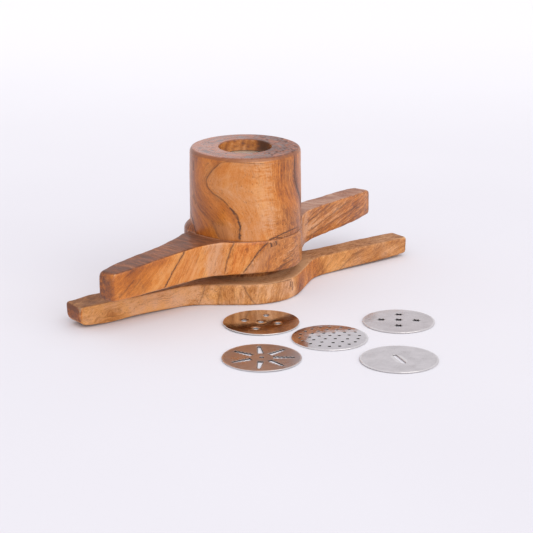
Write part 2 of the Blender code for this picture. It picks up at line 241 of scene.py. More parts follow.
# The wall's S-shaped vein as (height in mm, bearing from the front in degrees, to the right positive)
S_VEIN_RUN = (
    (54, -5.3), (62, -5), (68.3, -5.1), (74.5, -7.7), (77.7, -11), (81.8, -15.3), (86.9, -20.7),
    (90.3, -28.4), (93.7, -36.3), (98.5, -41.9), (104.1, -41.8), (111.7, -34.4), (118.6, -25.3),
    (122, -21),
)

# Lines that the grain follows up the cylinder's wall. Each has the bearing that it would have in
# straight wood, then its (height in mm, bearing) run.
WALL_LINES = (
    (-180, ((54, -180), (122, -180))),
    (-140, ((54, -148), (78, -136), (100, -144), (122, -138))),
    (-66, ((54, -60), (57, -62), (62, -67), (68, -76), (74, -82), (85, -95), (98, -105), (122, -112))),
    (-36, ((54, -26), (61, -30), (68, -35), (74, -46), (77, -52), (85, -64), (98, -72), (122, -80))),
    (-14, S_VEIN_RUN),
    (12, ((54, 22), (60, 19.5), (73.4, 15.2), (91.7, 9.3), (108.2, 10.2), (116.5, 6.8), (122, 5))),
    (33, ((54, 42), (70, 39), (82.3, 36.1), (97.1, 31), (114.4, 30.1), (122, 30))),
    (66, ((54, 100), (70, 88), (78.9, 79.3), (89, 69.4), (100.1, 61.8), (107.7, 61.9), (122, 62))),
    (130, ((54, 138), (75, 128), (96, 134), (122, 126))),
    (180, ((54, 180), (122, 180))),
)

# How light the wall's wood is at straightened bearings, from -1, dark, to 1, light
WALL_TONE = (
    (-180, 0.0), (-125, 0.15), (-100, -0.1), (-80, -0.15), (-66, -0.45), (-58, -0.22), (-48, -0.12),
    (-38, -0.08), (-36, -0.28), (-26, -0.06), (-22, 0.16), (-15, 0.04), (-13, 0.40), (0, 0.46),
    (11, 0.50), (13, 0.64), (24, 0.66), (31, 0.44), (35, -0.12), (48, -0.15), (58, -0.2),
    (66, -0.5), (72, -0.2), (100, 0.1), (130, -0.25), (150, 0.2), (180, 0.0),
)

# The hue of the wall's wood in the same way, from -1, golden, to 1, pinkish
WALL_HUE = (
    (-180, 0.0), (-100, -0.3), (-66, -1.35), (-46, -1.3), (-41, -0.6), (-36, 1.9), (-30, 1.9),
    (-22, 1.4), (-15, 0.2), (0, 0.1), (30, 0.2), (45, 0.0), (180, 0.0),
)

# How strongly the wall's wood is streaked at straightened bearings
WALL_STREAK = (
    (-180, 0.9), (-80, 0.72), (-66, 0.60), (-36, 0.58), (-20, 0.42), (-12, 0.36), (10, 0.36),
    (14, 0.6), (30, 0.75), (36, 1.1), (70, 1.05), (180, 0.9),
)

# The same as the tone along the block and handles, by the grain's own place along the handles in mm
BLOCK_TONE = (
    (-230, -0.1), (-166, -0.1), (-150, -0.2), (-128, -0.02), (-100, 0.45), (-72, 0.58), (-62, 0.86),
    (-54, 0.80), (-47, 0.46), (-34, 0.25), (-24, 0.31), (-14, 0.28), (-2, 0.0), (30, -0.10),
    (60, -0.02), (110, -0.06), (170, 0.03), (260, 0.05),
)

# The hue along the block and handles, and along the plunger's bar, by place along the handles in mm
BLOCK_HUE = (
    (-170, 0.0), (-160, -0.8), (-100, -1.1), (-80, -1.3), (-71, -0.8), (-64, 1.6), (-54, 1.7),
    (-47, -0.8), (-40, -1.7), (-23, -1.4), (-19, 1.7), (-14, 1.9), (-8, 1.3), (6, 1.0), (30, 0.9),
    (60, 0.7), (170, 0.7),
)
PLUNGER_HUE = (
    (-172, -2.4), (-168, -2.4), (-165.5, -0.8), (-125, -0.6), (-60, -0.1), (0, 0.1), (14, -0.4),
    (27, -2.2), (62, -1.9), (85, -0.6), (172, 0.0),
)

# How far the grain leans along the handles for each unit of height, by place along the handles in mm
BLOCK_LEAN = (
    (-166, 1.7), (-145, 1.6), (-125, 1.2), (-114, 0.95), (-70, 0.6), (-48, 0.35), (-30, 0.72),
    (-20, 1.3), (-11, 3.0), (2, 4.6), (16, 5.0), (30, 4.4), (45, 3.4), (62, 3.0), (85, 3.2),
    (120, 3.8), (166, 4.4),
)

# The tone along the plunger's bar
PLUNGER_TONE = (
    (-175, 0.15), (-150, 0.35), (-125, 0.85), (-95, 1.1), (-70, 1.0), (-58, 0.45), (-44, 0.3),
    (-30, 0.45), (-10, 0.55), (8, 0.25), (27, 0.0), (38, -0.1), (52, -0.15), (66, 0.1), (85, 0.28),
    (110, 0.32), (175, 0.2),
)

# How far the plunger's grain leans in the same way: nearly level along the left handle, steep in the
# body
PLUNGER_LEAN = (
    (-175, 7.0), (-85, 7.0), (-58, 2.2), (-42, 0.4), (0, 0.3), (28, 0.45), (52, 0.75), (90, 1.6),
    (175, 3.0),
)

# Dark veins as (surface, strength, half width in mm, run). On the wall a run is of (bearing, height in
# mm), and on the front and back of the block and handles of (place along the handles, height), in mm.
BARREL_VEINS = (
    ("wall", 0.72, 0.40, tuple((bearing, height) for height, bearing in S_VEIN_RUN[12:4:-1])),
    ("wall", 1.0, 0.80, ((-16.5, 83), (-11, 77.7), (-7.7, 74.5), (-5.1, 68.3), (-5, 62), (-5.3, 54.2))),
    ("wall", 0.55, 0.32, ((-28, 117), (-22, 119.2), (-14, 120), (-2, 119.6), (10, 118.8), (22, 118.4))),
    ("wall", 0.75, 0.8, ((62, 121), (61.9, 107.7), (61.8, 100.1), (69.4, 89), (79.3, 78.9), (90, 68))),
    ("wall", 1.0, 0.9, ((-92, 84), (-81.5, 74.2), (-76.2, 68.4), (-67, 62), (-61, 54.5))),
    ("wall", 0.4, 0.7, ((-64.1, 85.4), (-52.4, 76.6), (-45.6, 73.6), (-35.4, 68.1), (-30, 61), (-26, 54.5))),
    ("wall", 1.0, 0.50, ((24, 54.4), (30, 55.0), (35, 56), (41.2, 57.2), (53.5, 58.6), (71.9, 57.6))),
    # a dark line along the groove at the wall's foot, on the right
    ("wall", 0.95, 0.26, ((31, 54.0), (42, 54.0), (56, 54.0), (72, 54.1), (84, 54.1))),
    ("wall", 0.5, 1.9, ((-67, 115), (-66, 110.5), (-66.5, 106))),
    ("wall", 0.4, 2.4, ((-68, 86), (-64, 82.5), (-60, 79))),
    ("wall", 0.7, 0.5, ((150, 122), (146, 104), (158, 88), (152, 70), (160, 54))),
    ("wall", 0.55, 0.45, ((-150, 122), (-141, 103), (-147, 84), (-136, 54))),
    ("front", 0.72, 0.46, ((-44.2, 55), (-46.6, 49.8), (-48, 45.3), (-49.8, 38.7), (-52, 28))),
    ("front", 0.9, 0.46, ((-20.6, 53.6), (-25.8, 48.7), (-29.2, 44.4), (-33.9, 36.8), (-39.6, 27.5))),
    ("front", 0.95, 0.60, ((-90.6, 55.8), (-96.7, 49.5), (-102.5, 44.2), (-108.4, 37.3), (-115, 29.8))),
    ("front", 0.4, 0.7, ((-164, 33.5), (-155, 39.5), (-147, 45))),
    ("front", 0.32, 0.7, ((-157, 32.5), (-149, 38), (-140, 44.5))),
    ("front", 1.0, 0.80, ((-19.4, 52.2), (-18.9, 50.0), (-18.4, 47.4))),
    ("front", 1.0, 0.74, ((-15.4, 53.0), (-14.9, 51.0), (-14.6, 48.8))),
    ("front", 0.7, 0.5, ((-21.5, 51.5), (-20.6, 50.2), (-20.2, 49.0))),
    ("front", 0.8, 0.6, ((-15.6, 38.4), (-15.2, 37.5), (-14.6, 36.6))),
    ("front", 0.6, 0.55, ((-16, 28.6), (-11, 29.2), (-5, 30.4))),
    ("front", 0.6, 0.5, ((-12, 30.6), (-3, 31.9), (6, 33.4))),
    ("front", 0.55, 0.5, ((-9, 34.4), (0, 36.2), (9, 38.2))),
    ("front", 0.5, 0.45, ((-4, 38.8), (5, 40.8), (14, 43.2))),
    ("front", 0.6, 0.5, ((70, 37), (92, 41.5), (112, 46.5), (134, 51.5))),
    ("front", 0.6, 0.45, ((58, 44), (84, 49), (102, 54))),
    ("front", 0.5, 0.45, ((62, 31), (100, 37), (150, 45))),
    ("back", 0.6, 0.45, ((-60, 28), (-74, 40), (-82, 55))),
    ("back", 0.6, 0.4, ((38, 28), (30, 42), (22, 53.6))),
    ("back", 0.6, 0.4, ((96, 30), (110, 43), (120, 54))),
)
PLUNGER_VEINS = (
    ("front", 0.55, 0.40, ((-30, 17.5), (-26.5, 9), (-21, 0))),
    # a dark line along the body's top front edge
    ("front", 0.70, 0.30, ((-16, 17.2), (-4, 17.1), (6, 17.0), (14, 16.6))),
    ("front", 0.95, 0.45, ((12.2, 15.5), (11.6, 12.5), (12.6, 9.5))),
    ("front", 0.90, 0.40, ((15.2, 14.5), (14.2, 12), (14.8, 9.0), (13.9, 6.5))),
    ("front", 0.4, 0.45, ((-60, 0), (-57, 8), (-55, 17.5))),
    ("front", 0.35, 0.4, ((-47, 0), (-45.5, 9), (-45, 17.5))),
    ("front", 0.5, 0.5, ((20, 0), (29, 8), (33, 17.5))),
    ("front", 0.4, 0.4, ((34, 0), (42, 9), (45, 17.5))),
    ("front", 0.4, 0.4, ((92, 1), (104, 9), (120, 15))),
    ("back", 0.45, 0.4, ((-34, 0), (-27, 9), (-24, 17.5))),
    ("back", 0.4, 0.4, ((70, 1), (78, 9), (83, 17.5))),
)

# Small dark pits in the cylinder's top: bearing in degrees, and distance from the axis and width in mm
TOP_PITS = (
    (39, 31.5, 1.5), (44, 35, 1.1), (52, 33, 1.7), (57, 37.5, 1.2), (64, 34.5, 1.4), (70, 38, 1.0),
    (48, 39.5, 0.9), (-112, 33, 0.9), (160, 36, 1.0), (-30, 30.5, 0.7),
)

# Colours of the cylinder's turned top, from dark to light
TURNED_PALETTE = (
    (0.0, (0.105, 0.031, 0.016)),
    (0.5, (0.265, 0.088, 0.046)),
    (1.0, (0.430, 0.185, 0.120)),
)


# Shapes


class BarPlan:
    """Half outline of a handled bar from above: round body, shoulder, hollow fillet and bowed handle."""

    def __init__(
        self, half_length, body_radius, leave_angle, fillet_radius,
        root_half_width, taper, bow_start, bow_radius,
    ):
        shoulder = math.pi / 2 - leave_angle
        slope = math.atan(taper)
        self.body_radius = body_radius
        self.fillet_radius = fillet_radius
        self.root_half_width = root_half_width
        self.taper = taper
        self.bow_start = bow_start
        self.bow_radius = bow_radius
        self.half_length = half_length
        self.shoulder_drop = math.tan(shoulder)
        self.leave_x = body_radius * math.cos(leave_angle)
        self.leave_y = body_radius * math.sin(leave_angle)
        fillet_y = root_half_width + fillet_radius * (math.cos(slope) - math.cos(shoulder))
        self.fillet_x = self.leave_x + (self.leave_y - fillet_y) / self.shoulder_drop
        self.root_x = self.fillet_x + fillet_radius * (math.sin(shoulder) - math.sin(slope))
        self.centre_x = self.root_x + fillet_radius * math.sin(slope)
        self.centre_y = root_half_width + fillet_radius * math.cos(slope)

    def half_width(self, x):
        x = abs(x)
        if x <= self.leave_x:
            return math.sqrt(self.body_radius**2 - x**2)
        if x <= self.fillet_x:
            return self.leave_y - (x - self.leave_x) * self.shoulder_drop
        if x <= self.root_x:
            return self.centre_y - math.sqrt(self.fillet_radius**2 - (x - self.centre_x) ** 2)
        bow = max(x - self.bow_start, 0.0) ** 2 / (2 * self.bow_radius)
        return self.root_half_width - self.taper * (x - self.root_x) - bow

    def stations(self):
        main = np.linspace(-1, 1, 301) * (self.half_length - TIP_TOP_ROUND)
        turns = np.linspace(0, math.pi / 2, 9)[1:]
        tip = self.half_length - TIP_TOP_ROUND + TIP_TOP_ROUND * np.sin(turns)
        return [*(-tip[::-1]), *main, *tip]


def ease(value, start, end):
    t = np.clip((value - start) / (end - start), 0.0, 1.0)
    return t * t * (3 - 2 * t)


def hump(value, start, full, fading, end):
    """Rises from 0 at start to 1 at full, and falls back from fading to end."""
    return ease(value, start, full) * (1 - ease(value, fading, end))


def read(table, places):
    """Values at these places from a table of (place, value) pairs."""
    return np.interp(places, *zip(*table))


def columns(*fields):
    return np.stack(fields, axis=1)


def arc(centre, radii, start, end, steps):
    turns = [start + (end - start) * i / steps for i in range(steps + 1)]
    return [(centre[0] + radii[0] * math.cos(t), centre[1] + radii[1] * math.sin(t)) for t in turns]


def circle(centre, radius, steps):
    return arc(centre, (radius, radius), 0.0, 2 * math.pi, steps)[:-1]


def tip_inset(x, half_length, radius):
    into = max(abs(x) - (half_length - radius), 0.0)
    return radius - math.sqrt(max(radius**2 - into**2, 0.0))


def section(half_width, low, high):
    side = half_width - EDGE_ROUND
    corners = (
        (side, high - EDGE_ROUND),
        (-side, high - EDGE_ROUND),
        (-side, low + EDGE_ROUND),
        (side, low + EDGE_ROUND),
    )
    points = []
    for i, corner in enumerate(corners):
        start = math.pi / 2 * i
        points += arc(corner, (EDGE_ROUND, EDGE_ROUND), start, start + math.pi / 2, 6)
    return points


def add_mesh(name, builder):
    bmesh.ops.recalc_face_normals(builder, faces=builder.faces)
    mesh = bpy.data.meshes.new(name)
    builder.to_mesh(mesh)
    builder.free()
    made = bpy.data.objects.new(name, mesh)
    bpy.context.scene.collection.objects.link(made)
    return made


def bridge(builder, near, far):
    """Joins two closed loops of as many points by faces."""
    for i in range(len(near)):
        builder.faces.new((near[i - 1], near[i], far[i], far[i - 1]))


def fan(builder, ring, middle):
    for i in range(len(ring)):
        builder.faces.new((ring[i - 1], ring[i], middle))


def loft(name, stations, section_at):
    builder = bmesh.new()
    rings = [[builder.verts.new((x, y, z)) for y, z in section_at(x)] for x in stations]
    for near, far in zip(rings, rings[1:]):
        bridge(builder, near, far)
    builder.faces.new(rings[0])
    builder.faces.new(reversed(rings[-1]))
    return add_mesh(name, builder)


def filled_in(profile, step):
    """The profile with points added so that none is further than step from the next."""
    points = [profile[0]]
    for (r0, z0), (r1, z1) in zip(profile, profile[1:]):
        count = max(1, math.ceil(math.hypot(r1 - r0, z1 - z0) / step))
        points += [(r0 + (r1 - r0) * i / count, z0 + (z1 - z0) * i / count) for i in range(1, count + 1)]
    return points


def turned(name, profile, segments):
    """A solid of revolution about Z from (radius, height) points, the first and last on the axis."""
    builder = bmesh.new()
    rings = []
    for radius, height in profile[1:-1]:
        places = circle((0.0, 0.0), radius, segments)
        rings.append([builder.verts.new((x, y, height)) for x, y in places])
    for near, far in zip(rings, rings[1:]):
        bridge(builder, near, far)
    for end in (0, -1):
        fan(builder, rings[end], builder.verts.new((0.0, 0.0, profile[end][1])))
    return add_mesh(name, builder)


def applied(piece):
    graph = bpy.context.evaluated_depsgraph_get()
    mesh = bpy.data.meshes.new_from_object(piece.evaluated_get(graph))
    piece.modifiers.clear()
    piece.data = mesh
    return piece


def combined(piece, operation, tool):
    change = piece.modifiers.new(tool.name, "BOOLEAN")
    change.operation = operation
    change.solver = "MANIFOLD"
    change.object = tool
    bpy.context.view_layer.update()
    applied(piece)
    bpy.data.objects.remove(tool)
    return piece


def remeshed(piece, size):
    change = piece.modifiers.new("remesh", "REMESH")
    change.mode = "VOXEL"
    change.voxel_size = size
    return applied(piece)


# Point arrays


def points_of(mesh):
    flat = np.empty(len(mesh.vertices) * 3, np.float32)
    mesh.vertices.foreach_get("co", flat)
    return flat.reshape(-1, 3).astype(float)


def set_points(mesh, points):
    mesh.vertices.foreach_set("co", points.astype(np.float32).ravel())
    mesh.update()


def normals_of(mesh):
    flat = np.empty(len(mesh.vertices) * 3, np.float32)
    mesh.vertex_normals.foreach_get("vector", flat)
    return flat.reshape(-1, 3).astype(float)


def neighbour_mean(mesh, points):
    flat = np.empty(len(mesh.edges) * 2, np.int32)
    mesh.edges.foreach_get("vertices", flat)
    ends = flat.reshape(-1, 2)
    start = np.concatenate([ends[:, 0], ends[:, 1]])
    other = np.concatenate([ends[:, 1], ends[:, 0]])
    count = np.maximum(np.bincount(start, minlength=len(points)), 1)

    def mean(values):
        sums = [np.bincount(start, values[other, axis], len(points)) for axis in range(values.shape[1])]
        return np.stack(sums, axis=1) / count[:, None]

    return mean


def softened(mesh, rounds):
    """Smooths the mesh in pairs of inward and outward steps, so that it keeps its size."""
    points = points_of(mesh)
    mean = neighbour_mean(mesh, points)
    for _ in range(rounds):
        points += 0.5 * (mean(points) - points)
        points -= 0.52 * (mean(points) - points)
    set_points(mesh, points)


def waves(points, length, seed):
    """A smooth random field between about -1 and 1 whose bumps are about this long."""
    hand = random.Random(seed)
    total = np.zeros(len(points))
    for _ in range(9):
        way = Vector((hand.gauss(0, 1), hand.gauss(0, 1), hand.gauss(0, 1))).normalized()
        pitch = 2 * math.pi / (length * hand.uniform(0.7, 1.5))
        total += np.sin(points @ np.array(way) * pitch + hand.uniform(0, 2 * math.pi))
    return total / 3


def curved(run, steps=8):
    """A run of points with a smooth curve through them."""
    points = np.array(run, float)
    padded = np.vstack([2 * points[0] - points[1], points, 2 * points[-1] - points[-2]])
    made = []
    for p0, p1, p2, p3 in zip(padded, padded[1:], padded[2:], padded[3:]):
        for t in np.arange(steps) / steps:
            bend = (2 * p0 - 5 * p1 + 4 * p2 - p3) * t * t + (3 * p1 - p0 - 3 * p2 + p3) * t**3
            made.append(0.5 * (2 * p1 + (p2 - p0) * t + bend))
    return np.array(made + [points[-1]])


def beside(places, run):
    """Signed distance of each place from a run, and how far along the run its nearest point is."""
    best = np.full(len(places), 1e9)
    side = np.zeros(len(places))
    along = np.zeros(len(places))
    for i, (start, end) in enumerate(zip(run, run[1:])):
        way = end - start
        reach = places - start
        share = np.clip(reach @ way / (way @ way), 0, 1)
        away = reach - share[:, None] * way
        distance = np.hypot(away[:, 0], away[:, 1])
        nearer = distance < best
        best[nearer] = distance[nearer]
        side[nearer] = np.sign(way[0] * reach[:, 1] - way[1] * reach[:, 0])[nearer]
        along[nearer] = ((i + share) / (len(run) - 1))[nearer]
    return best * np.where(side == 0, 1, side), along


def vein_field(veins, places_by_surface, count):
    """Each point's distance from its nearest vein in mm, and the vein's strength and half width there."""
    field = np.zeros((count, 3))
    field[:, 0] = 50.0
    field[:, 2] = 0.5
    for surface, strength, half_width, run in veins:
        chosen, places = places_by_surface[surface]
        line = curved(run)
        if surface == "wall":
            line[:, 0] = np.radians(line[:, 0]) * CYLINDER_FOOT_RADIUS / MM
        distance, along = beside(places, line)
        ends = np.clip(np.minimum(along, 1 - along) / 0.06, 0.0, 1.0)
        strong = strength * ends * np.exp(-((distance / 4.5) ** 2))
        stronger = strong > field[chosen, 1]
        index = np.flatnonzero(chosen)[stronger]
        field[index, 0] = distance[stronger]
        field[index, 1] = strong[stronger]
        field[index, 2] = half_width
    return field


def store(mesh, name, values):
    kind = "FLOAT_VECTOR" if values.ndim == 2 else "FLOAT"
    made = mesh.attributes.new(name, kind, "POINT")
    made.data.foreach_set("vector" if values.ndim == 2 else "value", values.astype(np.float32).ravel())


def edge_field(mesh, rounds=7):
    """How far in mm each point stands out from the smoothed shape, as edges do, or in, as hollows do."""
    points = points_of(mesh)
    mean = neighbour_mean(mesh, points)
    smooth = points.copy()
    for _ in range(rounds):
        smooth += 0.6 * (mean(smooth) - smooth)
    return np.einsum("ij,ij->i", points - smooth, normals_of(mesh)) / MM


# Wooden pieces


def hand_worked(points, bumps, seed):
    """Unevenness left by the tools: the sum of bumps of these heights and lengths."""
    return sum(height * waves(points, length, seed + i) for i, (height, length) in enumerate(bumps))


def bar(name, plan, low_at, high_at, low_rounds, high_rounds):
    """A handled bar between two heights, its tips' edges rounded by (left, right) radii."""

    def section_at(x):
        end = 1 if x > 0 else 0
        side = tip_inset(x, plan.half_length, TIP_SIDE_ROUND)
        low = low_at(x) + tip_inset(x, plan.half_length, low_rounds[end])
        high = high_at(x) - tip_inset(x, plan.half_length, high_rounds[end])
        return section(plan.half_width(x) - side, low, high)

    return loft(name, plan.stations(), section_at)


def barrel_low(x):
    run = max(abs(x) - BARREL_BASE_FLAT_END, 0.0) / (BARREL_HALF_LENGTH - BARREL_BASE_FLAT_END)
    return BARREL_BASE + (BARREL_TIP_BASE - BARREL_BASE) * run


def barrel_high(x):
    rise = ease(abs(x), HANDLE_RISE_START, HANDLE_RISE_END)
    run = max(abs(x) - HANDLE_RISE_END, 0.0) / (BARREL_HALF_LENGTH - HANDLE_RISE_END)
    root = BLOCK_TOP + (HANDLE_ROOT_TOP - BLOCK_TOP) * rise
    return root - (HANDLE_ROOT_TOP - HANDLE_TIP_TOP) * run + HANDLE_CROWN * 4 * run * (1 - run)


def bearing_of(points):
    """Bearing of each point about the barrel's axis from the front, in degrees."""
    turned_by = np.degrees(np.arctan2(points[:, 1], points[:, 0])) - FRONT_BEARING
    return (turned_by + 180) % 360 - 180


def pit_distances(x, y):
    """Distance of each place in mm from each pit of the cylinder's top, with the pit's width."""
    for bearing, reach, width in TOP_PITS:
        turn = math.radians(bearing + FRONT_BEARING)
        yield np.hypot(x - reach * math.cos(turn), y - reach * math.sin(turn)), width


def cylinder_shape():
    foot = BARREL_BASE + LIP_THICKNESS
    scored = CYLINDER_FOOT_RADIUS - GROOVE_DEPTH
    groove_top = BLOCK_TOP + GROOVE_HEIGHT
    ridge = CYLINDER_TOP - RIM_RIDGE_DROP
    rim = (CYLINDER_RIM_RADIUS - RIM_WIDTH, CYLINDER_TOP - RIM_HEIGHT)
    profile = [
        (0.0, foot),
        (scored, foot),
        (scored, BLOCK_TOP),
        (CYLINDER_FOOT_RADIUS - GROOVE_LIP, groove_top - GROOVE_EASE),
        (CYLINDER_FOOT_RADIUS, groove_top + GROOVE_EASE),
    ]
    profile += [(CYLINDER_RIM_RADIUS, ridge + RIM_RIDGE_WIDTH * i / 3) for i in range(-6, 7)]
    profile += arc(rim, (RIM_WIDTH, RIM_HEIGHT), 0.0, math.pi / 2, 9)
    profile += [(0.0, CYLINDER_TOP)]
    made = turned("cylinder", filled_in(profile, PROFILE_STEP), CYLINDER_SEGMENTS)
    points = points_of(made.data)
    x, y, z = points.T
    radius = np.hypot(x, y)
    worked = hand_worked(points, TURNED_BUMPS, seed=21)
    worked *= ease(radius, *TURNED_RADIUS) * ease(z, *TURNED_HEIGHT)
    proud = RIM_RIDGE * np.exp(-(((z - ridge) / RIM_RIDGE_WIDTH) ** 2)) * (radius > TURNED_RADIUS[1])
    worked += proud * (0.45 + 0.55 * hump(bearing_of(points), *RIDGE_BEARINGS))
    points[:, :2] *= (1 + worked / np.maximum(radius, MM))[:, None]
    top = ease(z, CYLINDER_TOP - MM, CYLINDER_TOP)
    z += top * TOP_UNEVENNESS * (waves(points, TOP_BUMP_LENGTH, seed=23) - 1)
    for away, width in pit_distances(x / MM, y / MM):
        z -= top * PIT_DEPTH * np.exp(-((away / (0.55 * width)) ** 2))
    set_points(made.data, points)
    return made


def boss_shape():
    profile = [(0.0, BOSS_FOOT), (BOSS_FOOT_RADIUS, BOSS_FOOT)]
    profile += [(BOSS_RADIUS, BOSS_FLARE), (BOSS_RADIUS, BLOCK_TOP)]
    for t in np.linspace(0, 1, 24):
        height = BOSS_HUMP_START + (BOSS_TOP - BOSS_HUMP_START) * t
        profile.append((BOSS_RADIUS - (BOSS_RADIUS - BOSS_TOP_RADIUS) * t**BOSS_HUMP, height))
    profile += [(0.0, BOSS_TOP)]
    made = turned("boss", profile, BOSS_SEGMENTS)
    made.location = (BOSS_REACH * math.cos(BOSS_ANGLE), BOSS_REACH * math.sin(BOSS_ANGLE), 0.0)
    return made


def bore_shape():
    below = BARREL_BASE - LIP_THICKNESS
    above = CYLINDER_TOP + LIP_THICKNESS
    mouth = BORE_RADIUS + BORE_MOUTH_CHAMFER
    wide = OUTLET_RADIUS + 3 * OUTLET_ROUND
    lip = (OUTLET_RADIUS + OUTLET_ROUND, CYLINDER_TOP - OUTLET_ROUND)
    profile = [(0.0, below), (mouth, below), (mouth, BARREL_BASE)]
    profile += [(BORE_RADIUS, BARREL_BASE + BORE_MOUTH_CHAMFER), (BORE_RADIUS, LIP_UNDERSIDE)]
    profile += [(OUTLET_RADIUS, LIP_UNDERSIDE)]
    profile += arc(lip, (OUTLET_ROUND, OUTLET_ROUND), math.pi, math.radians(100), 6)
    profile += [(wide, CYLINDER_TOP + OUTLET_ROUND), (wide, above), (0.0, above)]
    made = turned("bore", filled_in(profile, BORE_STEP), BORE_SEGMENTS)
    points = points_of(made.data)
    x, y, _ = points.T
    stretch = (OUTLET_STRETCH - 1) * (1 - ease(np.hypot(x, y), OUTLET_RADIUS, BORE_RADIUS))
    stretch *= x * FRONT[0] + y * FRONT[1]
    x += stretch * FRONT[0]
    y += stretch * FRONT[1]
    set_points(made.data, points)
    return made


def outlet_reach(x, y):
    """Distance from the axis, with the outlet's oval drawn in to a circle."""
    depth = x * FRONT[0] + y * FRONT[1]
    return np.hypot(y * FRONT[0] - x * FRONT[1], depth / OUTLET_STRETCH)


def straightened(bearing, height):
    """Bearings as they would be with the wall's grain lines pulled straight."""
    knots = [read(run, height) for _, run in WALL_LINES]
    result = np.zeros(len(bearing))
    for low, high, (start, _), (end, _) in zip(knots, knots[1:], WALL_LINES, WALL_LINES[1:]):
        between = (bearing >= low) & (bearing <= high)
        result[between] = (start + (end - start) * (bearing - low) / (high - low))[between]
    return result


def slanted(x, rise, leans):
    """Places across and along a grain that leans by these (place, lean) pairs, evenly spaced."""
    grid = np.linspace(-180.0, 180.0, 721)
    middle = len(grid) // 2
    pitch = grid[1] - grid[0]
    lean = read(leans, grid)
    share = 1 / np.hypot(1, lean)
    across = np.cumsum(share) * pitch
    along = np.cumsum(share * lean) * pitch
    across = np.interp(x, grid, across - across[middle]) - np.interp(x, grid, share * lean) * rise
    along = np.interp(x, grid, along - along[middle]) + np.interp(x, grid, share) * rise
    return across, along


def make_barrel():
    plan = BarPlan(**BARREL_OUTLINE)
    rounds = ((TIP_ROUND, TIP_ROUND), (TIP_TOP_ROUND, TIP_TOP_ROUND))
    barrel = bar("barrel_press_body", plan, barrel_low, barrel_high, *rounds)
    combined(barrel, "UNION", boss_shape())
    remeshed(barrel, VOXEL)
    softened(barrel.data, SOFTENING_ROUNDS)
    points = points_of(barrel.data)
    normals = normals_of(barrel.data)
    points += normals * hand_worked(points, CUT_BUMPS, seed=11)[:, None]
    x, y, z = points.T
    x -= BARREL_LEFT_EXTRA * ease(-x, *LEFT_EXTRA_RUN)
    y += ROOT_BACK_FULLNESS * hump(-x, *ROOT_FULLNESS_RUN) * ease(y, *ROOT_FULLNESS_DEPTH)
    tilt = hump(x, *TILT_RUN) * ease(z, *TILT_HEIGHT)
    z -= RIGHT_TOP_TILT * tilt * np.clip(y / RIGHT_TOP_WIDTH + 0.5, 0, 1)
    sag = hump(x, *SAG_RUN) * (1 - ease(y, *SAG_DEPTH))
    z -= BLOCK_SAG * sag * (1 - ease(z, *SAG_HEIGHT))
    chip = np.linalg.norm(points - np.array(CHIP_PLACE), axis=1) / CHIP_REACH
    points -= normals * (CHIP_DEPTH * np.exp(-(chip**2)))[:, None]
    set_points(barrel.data, points)
    combined(barrel, "UNION", cylinder_shape())
    combined(barrel, "DIFFERENCE", bore_shape())
    grain_barrel(barrel.data)
    finish_piece(barrel, barrel_wood())
    barrel.data.transform(Matrix.Rotation(BARREL_TURN, 4, "Z"))
    return barrel


def sides(chosen, x, y, z):
    """The front and the back among the chosen points, with their places along the handles and up."""
    places = columns(x, z)
    front = chosen & (y < 0)
    back = chosen & (y >= 0)
    return {"front": (front, places[front]), "back": (back, places[back])}


class BarrelPoints:
    """The points of the barrel's mesh in mm, and which of its surfaces each is on."""

    def __init__(self, mesh):
        self.points = points_of(mesh) / MM
        self.x, self.y, self.z = x, y, z = self.points.T
        self.radius = np.hypot(x, y)
        self.bearing = bearing_of(self.points)
        self.straight = straightened(self.bearing, np.clip(z, S_VEIN_RUN[0][0], S_VEIN_RUN[-1][0]))
        self.wall = (z > BLOCK_TOP / MM + 0.15) & (self.radius < CYLINDER_FOOT_RADIUS / MM + 0.35)
        self.outlet = (outlet_reach(x, y) < OUTLET_RADIUS / MM + 0.6) & (z > LIP_UNDERSIDE / MM - 0.5)
        # the outlet's right side, which painted shade darkens
        self.outlet_shaded_side = hump(self.bearing, 95, 135, 142, 162)
        self.front = ~self.wall & (y <= 0)
        self.tip = BARREL_HALF_LENGTH / MM
        self.left_tip = (BARREL_HALF_LENGTH + BARREL_LEFT_EXTRA) / MM


def barrel_grain(at):
    """Places in straightened wood: leaning layers in the block, and lines that bend up the wall."""
    x, y, z = at.x, at.y, at.z
    across, along = slanted(x, z - BLOCK_TOP / MM, BLOCK_LEAN)
    bent = np.sign(across) * np.hypot(across, 0.35 * y)
    turn = np.radians(at.straight)
    grain = columns(bent + 300, y, along)
    grain[at.wall] = columns(at.radius * np.sin(turn), at.radius * np.cos(turn), z)[at.wall]
    grain[at.outlet] = columns(0.9 * x, 0.9 * y, 26 * z + 4 * x)[at.outlet]
    return grain


